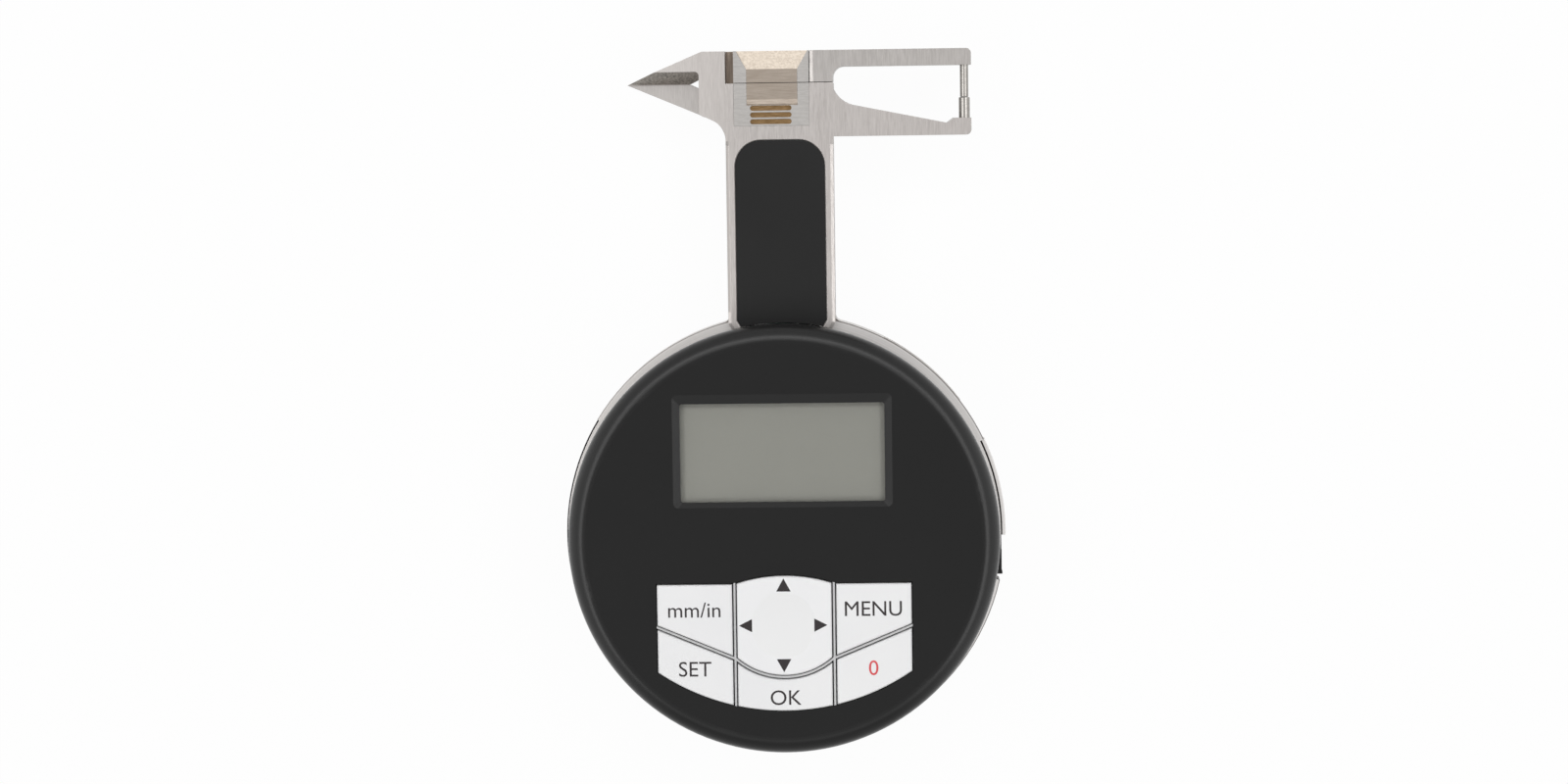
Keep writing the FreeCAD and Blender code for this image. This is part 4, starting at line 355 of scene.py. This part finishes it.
def anvil_brass(name):
    """Brass brushed across the anvils' faces."""
    return brushed(name, BRASS_LIGHT, BRASS_DARK, (0.26, 0.34), lines=BRASS_LINES,
                   depth=0.0000015)


def slope_brass():
    """The upper anvil: its slope is coloured far lighter as a painted highlight, with a fine
    speckle like a fly cutter leaves.
    """
    finish = anvil_brass("slope_brass")
    y = finish.place_parts()[1]
    speckle = finish.noise((2600, 2600, 2600), detail=3.0, rough=0.7)
    lit_speckle = finish.blend(finish.spread(speckle, 0.0, 1.0, 0.35, 0.65), SLOPE_HIGHLIGHT_DARK, SLOPE_HIGHLIGHT_LIGHT)
    # painted highlight: the slope is coloured far lighter than the face
    finish.paint(finish.above(y, SLOPE_START), lit_speckle)
    return finish.material


def grooved_brass():
    """The lower anvil, with dark, brownish painted shade in the depth of its grooves."""
    finish = anvil_brass("grooved_brass")
    z = finish.place_parts()[2]
    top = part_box("lower_anvil")[1].z
    groove_mottle = finish.noise((900, 5000, 900), detail=3.0)
    shade_brown = finish.blend(finish.spread(groove_mottle, 0.0, 1.0), GROOVE_SHADE_DARK, GROOVE_SHADE_LIGHT)
    # painted shade: the groove floors below the face are coloured dark and brownish
    finish.paint(finish.below(z, top - GROOVE_START, GROOVE_FADE), shade_brown)
    return finish.material


def moulded(name, light, dark, roughness, gloss=0.3, grain=4200, depth=0.000006, edge=0.0):
    """Plastic with the fine grain of its mould, faint cloudy patches and rounded edges."""
    finish = Finish(name, gloss=gloss)
    if edge:
        finish.soft_edges(edge)
    fine = finish.noise((grain, grain, grain), detail=2.0)
    clouds = finish.noise((55, 55, 55), detail=2.0)
    finish.colour(finish.blend(finish.spread(clouds, 0.0, 1.0), dark, light))
    low, high = roughness
    finish.roughness(finish.spread(fine, low, high))
    finish.relief(fine, depth)
    return finish


def moulded_plastic(*colours, **pattern):
    return moulded(*colours, **pattern).material


HOUSING_LIGHT = tone(12, 12, 12)
HOUSING_DARK = tone(9, 9, 9)
SHOULDER_ROUGHNESS = 0.27
SHOULDER_START = 29.0 * MM
SHOULDER_FADE = 0.3 * MM
SHOULDER_HIGHLIGHT_GREY = tone(42, 42, 42)
SHOULDER_HIGHLIGHT_START = 29.2 * MM
SHOULDER_HIGHLIGHT_END = 30.8 * MM
SHOULDER_HIGHLIGHT_FADE = 1.2 * MM
EDGE_REFLECTION_GREY = tone(72, 72, 72)
EDGE_REFLECTION_START = 29.6 * MM
EDGE_REFLECTION_FADE = 2.2 * MM
SIDES_START = -26 * MM
SIDES_FADE = 10 * MM
NECK_SHARE = 0.3
NECK_FADE = (10 * MM, 28 * MM)


def housing_finish():
    """The black housing: satin face, glossier shoulder, and a painted highlight and a painted
    reflection round its rim.
    """
    finish = moulded("housing_black", HOUSING_LIGHT, HOUSING_DARK, (0.3, 0.38), gloss=0.24)
    y = finish.place_parts()[1]
    reach = finish.reach()
    finish.smooth_to(finish.above(reach, SHOULDER_START, SHOULDER_FADE), SHOULDER_ROUGHNESS)
    sides = finish.above(y, SIDES_START, SIDES_FADE)
    # painted highlight: a lighter band on the shoulder, fading out towards the bottom
    shoulder_highlight = finish.product(finish.above(reach, SHOULDER_HIGHLIGHT_START, SHOULDER_FADE),
                          finish.below(reach, SHOULDER_HIGHLIGHT_END, SHOULDER_HIGHLIGHT_FADE), sides)
    finish.paint(shoulder_highlight, SHOULDER_HIGHLIGHT_GREY)
    # painted reflection: grey rising towards the outer edge, weaker near the neck and at the
    # bottom
    corner = finish.product(finish.above(reach, EDGE_REFLECTION_START, EDGE_REFLECTION_FADE), sides,
                            finish.spread(y, 1.0, NECK_SHARE, *NECK_FADE),
                            finish.spread(finish.turned_lines(900), 0.85, 1.0))
    finish.paint(corner, EDGE_REFLECTION_GREY)
    return finish.material


DISH_SHADE_GREY = tone(249, 249, 249)
DISH_MIDDLE = (-0.15 * MM, -12.2 * MM, 0)
DISH_HALF_WIDTH = 4.75 * MM
DISH_HALF_LENGTH = 4.95 * MM
DISH_DEPTH = 0.02 * MM


def pad_finish():
    """The four-way pad: key plastic with a shallow oval dish in its middle, tinted slightly darker
    as painted shade.
    """
    finish = moulded("pad_silver", tone(253, 253, 253), tone(250, 250, 251), (0.3, 0.38),
                     gloss=0.4, grain=9000, depth=0.000001, edge=0.12 * MM)
    oval = finish.tree.nodes.new("ShaderNodeVectorMath")
    oval.operation = "LENGTH"
    scale = (1 / DISH_HALF_WIDTH, 1 / DISH_HALF_LENGTH, 0)
    finish.link(finish.stretched(scale, DISH_MIDDLE), oval.inputs[0])
    dish = finish.below(oval.outputs["Value"], 1.0, 0.04)
    # painted shade: the dish is coloured a little darker than the pad around it
    finish.paint(dish, DISH_SHADE_GREY)
    finish.relief(dish, -DISH_DEPTH)
    return finish.material


frame_steel = frame_steel_finish()
lever_steel = lever_steel_finish()
carriage_steel = carriage_steel_finish()
block_steel = brushed_metal("block_steel", tone(181, 178, 175), tone(164, 161, 158), (0.28, 0.34),
                            lines=(900, 5200, 900), depth=0.000001, edge=0.05 * MM)
pin_steel = brushed_metal("pin_steel", tone(170, 167, 162), tone(150, 146, 142), (0.16, 0.22),
                          lines=(900, 6000, 900), depth=0.0000005)
shaft_steel = brushed_metal("shaft_steel", tone(204, 204, 203), tone(186, 186, 185), (0.18, 0.26),
                            lines=(3000, 400, 3000), depth=0.000001)
gear_brass = brushed_metal("gear_brass", tone(206, 170, 104), tone(184, 148, 86), (0.28, 0.38),
                           edge=0.05 * MM)
bush_bronze = brushed_metal("bush_bronze", tone(180, 134, 88), tone(154, 110, 70), (0.3, 0.42))
spring_steel = brushed_metal("spring_steel", tone(205, 205, 203), tone(186, 186, 184), (0.2, 0.28))
screw_steel = brushed_metal("screw_steel", tone(190, 190, 189), tone(164, 164, 163), (0.28, 0.38),
                            lines=(2500, 2500, 2500), edge=0.06 * MM)
cell_steel = brushed_metal("cell_steel", tone(214, 214, 212), tone(200, 200, 198), (0.22, 0.3))

case_black = moulded_plastic("case_black", tone(14, 14, 14), tone(11, 11, 11), (0.3, 0.36),
                             gloss=0.24)
housing_black = housing_finish()
panel_black = moulded_plastic("panel_black", tone(34, 34, 34), tone(30, 30, 30), (0.5, 0.58),
                              gloss=0.16, grain=6500, depth=0.000004)
pad_rubber = moulded_plastic("pad_rubber", tone(34, 34, 34), tone(27, 27, 27), (0.6, 0.72),
                             gloss=0.16, grain=3500, depth=0.00001)
key_silver = moulded_plastic("key_silver", tone(251, 251, 251), tone(247, 247, 248), (0.3, 0.38),
                             gloss=0.4, grain=9000, depth=0.000001, edge=0.12 * MM)
pad_silver = pad_finish()
rib_grey = moulded_plastic("rib_grey", tone(208, 208, 208), tone(199, 199, 200), (0.4, 0.5))
inner_plastic = moulded_plastic("inner_plastic", tone(214, 213, 206), tone(204, 203, 196),
                                (0.45, 0.55))
chip_black = moulded_plastic("chip_black", tone(40, 40, 41), tone(34, 34, 35), (0.45, 0.6))
seal_black = moulded_plastic("seal_black", tone(32, 32, 33), tone(25, 25, 26), (0.5, 0.65))
ribbon_black = moulded_plastic("ribbon_black", tone(38, 36, 34), tone(31, 30, 29), (0.35, 0.45))
strip_green = moulded_plastic("strip_green", tone(84, 128, 106), tone(74, 116, 96), (0.3, 0.4))
board_green = moulded_plastic("board_green", tone(24, 92, 58), tone(18, 80, 50), (0.28, 0.4))
label_ink = moulded_plastic("label_ink", tone(60, 55, 56), tone(52, 48, 49), (0.5, 0.6), gloss=0.2)
label_red = moulded_plastic("label_red", tone(226, 92, 96), tone(218, 82, 88), (0.5, 0.6),
                            gloss=0.2)


def display_grey():
    """The switched-off liquid crystal: a satin grey with a fine even grain."""
    finish = Finish("display_grey", gloss=0.3)
    cells = finish.noise((5000, 5000, 5000), detail=1.0)
    clouds = finish.noise((60, 60, 60), detail=1.0)
    shade = finish.blend(finish.spread(cells, 0.0, 1.0), tone(144, 144, 138), tone(149, 149, 143))
    finish.colour(finish.blend(finish.spread(clouds, 0.0, 0.3), shade, tone(141, 141, 135)))
    finish.roughness(finish.spread(cells, 0.32, 0.4))
    finish.relief(cells, 0.000001)
    return finish.material


def lens_clear():
    """The clear window: see-through, with a faint gloss that grows at a slant."""
    finish = Finish("lens_clear")
    tree = finish.tree
    finish.surface.inputs["Base Color"].default_value = (1, 1, 1, 1)
    smears = finish.noise((120, 90, 120), detail=2.0)
    finish.roughness(finish.spread(smears, 0.04, 0.1))
    through = tree.nodes.new("ShaderNodeBsdfTransparent")
    through.inputs["Color"].default_value = (0.975, 0.975, 0.97, 1)
    facing = tree.nodes.new("ShaderNodeFresnel")
    facing.inputs["IOR"].default_value = 1.25
    mixed = tree.nodes.new("ShaderNodeMixShader")
    finish.link(facing.outputs[0], mixed.inputs[0])
    finish.link(through.outputs[0], mixed.inputs[1])
    finish.link(finish.surface.outputs[0], mixed.inputs[2])
    finish.link(mixed.outputs[0], tree.nodes["Material Output"].inputs["Surface"])
    return finish.material


finish_of_node = {
    frame_steel: ("frame_casting", "bridge_plate"),
    lever_steel: ("thumb_lever",),
    carriage_steel: ("carriage_plate",),
    block_steel: ("upper_block", "lower_block"),
    slope_brass(): ("upper_anvil",),
    grooved_brass(): ("lower_anvil",),
    pin_steel: ("upper_pin", "lower_pin"),
    shaft_steel: ("slide_rod", "pinion", "lever_axle", "gear_axle"),
    housing_black: ("front_housing",),
    case_black: ("back_cover", "battery_cover"),
    panel_black: ("neck_cover",),
    pad_rubber: ("thumb_pad",),
    display_grey(): ("lcd_panel",),
    lens_clear(): ("display_lens",),
    key_silver: ("units_key", "menu_key", "set_key", "zero_key", "enter_key"),
    pad_silver: ("nav_pad",),
    rib_grey: ("keypad_frame",),
    inner_plastic: ("lcd_holder", "nav_pivot"),
    seal_black: ("contact_strips", "battery_seal"),
    board_green: ("circuit_board", "sensor_board"),
    chip_black: ("board_chips",),
    spring_steel: ("dome_contacts", "axle_clip", "return_spring", "cell_contact_minus",
                   "cell_contact_plus"),
    screw_steel: ("back_cover_screws", "housing_screws", "board_screws", "block_screws",
                  "bridge_screws", "carriage_screws"),
    bush_bronze: ("guide_bushes",),
    gear_brass: ("drive_gear",),
    cell_steel: ("coin_cell",),
    ribbon_black: ("sensor_ribbon",),
    strip_green: ("scale_strip",),
}
for finish, names in finish_of_node.items():
    for name in names:
        nodes[name].data.materials.clear()
        nodes[name].data.materials.append(finish)


# pieces

def add_piece(name, mesh, finish, body):
    """A new piece at the origin, in its finish, riding on a body."""
    piece = bpy.data.objects.new(name, mesh)
    bpy.context.scene.collection.objects.link(piece)
    mesh.materials.clear()
    mesh.materials.append(finish)
    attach(piece, body)
    return piece


def as_mesh(name, shape):
    mesh = bpy.data.meshes.new(name)
    shape.to_mesh(mesh)
    shape.free()
    return mesh


def thicken(shape, height):
    """Turns flat faces into a closed slab, by a height up or down."""
    slab = bmesh.ops.extrude_face_region(shape, geom=shape.faces[:], use_keep_orig=True)
    moved = [g for g in slab["geom"] if isinstance(g, bmesh.types.BMVert)]
    bmesh.ops.translate(shape, verts=moved, vec=(0, 0, height))
    bmesh.ops.recalc_face_normals(shape, faces=shape.faces)


def key_top():
    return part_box("units_key")[1].z


PRINT_THICKNESS = 0.015 * MM
PRINT_SUNK = 0.004 * MM
CAP_HEIGHT = 2.2 * MM
CAP_SHARE = 0.7     # a capital's height as a share of the lettering's size


def printed_label(name, words, middle, finish, body):
    """Lettering printed on a key, centred on a point."""
    curve = bpy.data.curves.new(name, "FONT")
    curve.body = words
    curve.align_x = "CENTER"
    curve.align_y = "CENTER"
    curve.size = CAP_HEIGHT / CAP_SHARE
    curve.extrude = PRINT_THICKNESS / 2
    curve.resolution_u = 4
    text = bpy.data.objects.new(name + "_text", curve)
    bpy.context.scene.collection.objects.link(text)
    bpy.context.view_layer.update()
    finished = text.evaluated_get(bpy.context.evaluated_depsgraph_get())
    mesh = bpy.data.meshes.new_from_object(finished)
    bpy.data.objects.remove(text)
    level = key_top() - PRINT_SUNK + PRINT_THICKNESS / 2
    middle_x = (max(v.co.x for v in mesh.vertices) + min(v.co.x for v in mesh.vertices)) / 2
    middle_y = (max(v.co.y for v in mesh.vertices) + min(v.co.y for v in mesh.vertices)) / 2
    mesh.transform(Matrix.Translation((middle[0] - middle_x, middle[1] - middle_y, level)))
    mesh.name = name
    return add_piece(name, mesh, finish, body)


label_places = {
    "units_key": ("mm/in", (-13.1, -9.85), label_ink),
    "menu_key": ("MENU", (12.95, -9.85), label_ink),
    "set_key": ("SET", (-13.1, -18.55), label_ink),
    "zero_key": ("0", (12.9, -18.55), label_red),
    "enter_key": ("OK", (0.1, -22.85), label_ink),
}
for key, (words, (x, y), ink) in label_places.items():
    printed_label(key + "_label", words, (x * MM, y * MM), ink, key)


def printed_arrow(name, tip, direction, length, half_base):
    """A solid triangle printed on the pad, its tip at a point."""
    shape = bmesh.new()
    bmesh.ops.create_circle(shape, cap_ends=True, segments=3, radius=1.0)
    low = min(v.co.y for v in shape.verts)
    high = max(v.co.y for v in shape.verts)
    wide = max(v.co.x for v in shape.verts)
    bmesh.ops.translate(shape, verts=shape.verts, vec=(0, -high, 0))
    bmesh.ops.scale(shape, verts=shape.verts, vec=(half_base / wide, length / (high - low), 1))
    turn = Matrix.Rotation(math.radians(direction - 90), 4, "Z")
    bmesh.ops.transform(shape, verts=shape.verts, matrix=turn)
    bmesh.ops.translate(shape, verts=shape.verts, vec=(tip[0], tip[1], key_top() - PRINT_SUNK))
    thicken(shape, PRINT_THICKNESS)
    return add_piece(name, as_mesh(name, shape), label_ink, "pad")


pad_arrows = {
    "pad_arrow_up": ((-0.08, -5.3), 90, 1.93, 1.05),
    "pad_arrow_down": ((-0.12, -19.1), 270, 1.93, 1.05),
    "pad_arrow_left": ((-6.62, -12.2), 180, 1.9, 0.97),
    "pad_arrow_right": ((6.25, -12.2), 0, 1.9, 0.97),
}
for name, ((x, y), direction, length, half_base) in pad_arrows.items():
    printed_arrow(name, (x * MM, y * MM), direction, length * MM, half_base * MM)


# studio

SOFTBOX_REACH = 0.42
SOFTBOX_RISE = 0.56
SOFTBOX_WIDTH = 0.8
SOFTBOX_HEIGHT = 0.2
SOFTBOXES = {
    "upper_softbox": (90, 1.5),
    "left_softbox": (180, 1.35),
    "right_softbox": (0, 1.4),
    "lower_softbox": (270, 0.45),
}
FLOOR_HALF = 1.5
FLOOR_SUNK = 0.02 * MM
FLOOR_WHITE = (0.9, 0.9, 0.9, 1)
FLOOR_GLOW_SHARE = 0.96
WORLD_LIGHT = 0.22
EYE = Vector((14.5, 63.2, 470.0)) * MM
AIM = Vector((0.11, 21.01, 10.0)) * MM
LENS = 71.95        # for a picture 36 mm wide
TILT = -0.8         # in degrees


def studio_light(name, side, watts):
    """A wide softbox at an angle round the object, counted from +X, that faces its middle."""
    light = bpy.data.lights.new(name, "AREA")
    light.shape = "RECTANGLE"
    light.size = SOFTBOX_WIDTH
    light.size_y = SOFTBOX_HEIGHT
    light.energy = watts
    turn = math.radians(side)
    reach = Vector((math.cos(turn), math.sin(turn), 0)) * SOFTBOX_REACH
    middle = Vector((0, (cad_low.y + cad_high.y) / 2, 0))
    lamp = bpy.data.objects.new(name, light)
    lamp.location = middle + reach + Vector((0, 0, SOFTBOX_RISE))
    lamp.rotation_mode = "QUATERNION"
    lamp.rotation_quaternion = (middle - lamp.location).to_track_quat("-Z", "Y")
    bpy.context.scene.collection.objects.link(lamp)


def seen_rays(tree):
    """1 for rays that show the background: straight to the camera, mirrored or let through."""
    rays = tree.nodes.new("ShaderNodeLightPath")
    total = rays.outputs["Is Camera Ray"]
    for label in ("Is Glossy Ray", "Is Transmission Ray"):
        largest = tree.nodes.new("ShaderNodeMath")
        largest.operation = "MAXIMUM"
        tree.links.new(total, largest.inputs[0])
        tree.links.new(rays.outputs[label], largest.inputs[1])
        total = largest.outputs[0]
    return total


def make_floor():
    """A matt white floor that keeps shadows and shows as white to the camera and in metal."""
    shape = bmesh.new()
    bmesh.ops.create_grid(shape, x_segments=1, y_segments=1, size=FLOOR_HALF)
    bmesh.ops.translate(shape, verts=shape.verts, vec=(0, 0, -FLOOR_SUNK))
    mesh = as_mesh("floor", shape)
    floor = bpy.data.objects.new("floor", mesh)
    bpy.context.scene.collection.objects.link(floor)
    material = bpy.data.materials.new("floor_white")
    material.use_nodes = True
    tree = material.node_tree
    paint = tree.nodes["Principled BSDF"]
    paint.inputs["Base Color"].default_value = FLOOR_WHITE
    paint.inputs["Roughness"].default_value = 0.9
    paint.inputs["Specular IOR Level"].default_value = 0.1
    glow = tree.nodes.new("ShaderNodeEmission")
    glow.inputs["Strength"].default_value = 1.0
    share = tree.nodes.new("ShaderNodeMath")
    share.operation = "MULTIPLY"
    share.inputs[1].default_value = FLOOR_GLOW_SHARE
    tree.links.new(seen_rays(tree), share.inputs[0])
    mixed = tree.nodes.new("ShaderNodeMixShader")
    tree.links.new(share.outputs[0], mixed.inputs[0])
    tree.links.new(paint.outputs[0], mixed.inputs[1])
    tree.links.new(glow.outputs[0], mixed.inputs[2])
    tree.links.new(mixed.outputs[0], tree.nodes["Material Output"].inputs["Surface"])
    mesh.materials.append(material)


def make_world():
    """A white background that gives the object only a little light of its own."""
    world = bpy.data.worlds.new("studio")
    bpy.context.scene.world = world
    world.use_nodes = True
    tree = world.node_tree
    background = tree.nodes["Background"]
    background.inputs["Color"].default_value = (1, 1, 1, 1)
    level = tree.nodes.new("ShaderNodeMapRange")
    level.inputs["To Min"].default_value = WORLD_LIGHT
    level.inputs["To Max"].default_value = 1.0
    tree.links.new(seen_rays(tree), level.inputs["Value"])
    tree.links.new(level.outputs["Result"], background.inputs["Strength"])


def make_camera():
    """The photograph's view: from the front, with the eye over the neck."""
    data = bpy.data.cameras.new("photo_camera")
    data.sensor_width = 36.0
    data.lens = LENS
    data.clip_start = 0.01
    data.clip_end = 10.0
    camera = bpy.data.objects.new("photo_camera", data)
    bpy.context.scene.collection.objects.link(camera)
    camera.location = EYE
    camera.rotation_mode = "QUATERNION"
    forward = (AIM - EYE).normalized()
    right = forward.cross((0, 1, 0)).normalized()
    level = Matrix((right, right.cross(forward), -forward)).transposed().to_quaternion()
    camera.rotation_quaternion = level @ Quaternion((0, 0, 1), math.radians(TILT))
    bpy.context.scene.camera = camera


make_floor()
make_world()
make_camera()
for name, (side, watts) in SOFTBOXES.items():
    studio_light(name, side, watts)
bpy.context.scene.view_settings.view_transform = "Standard"
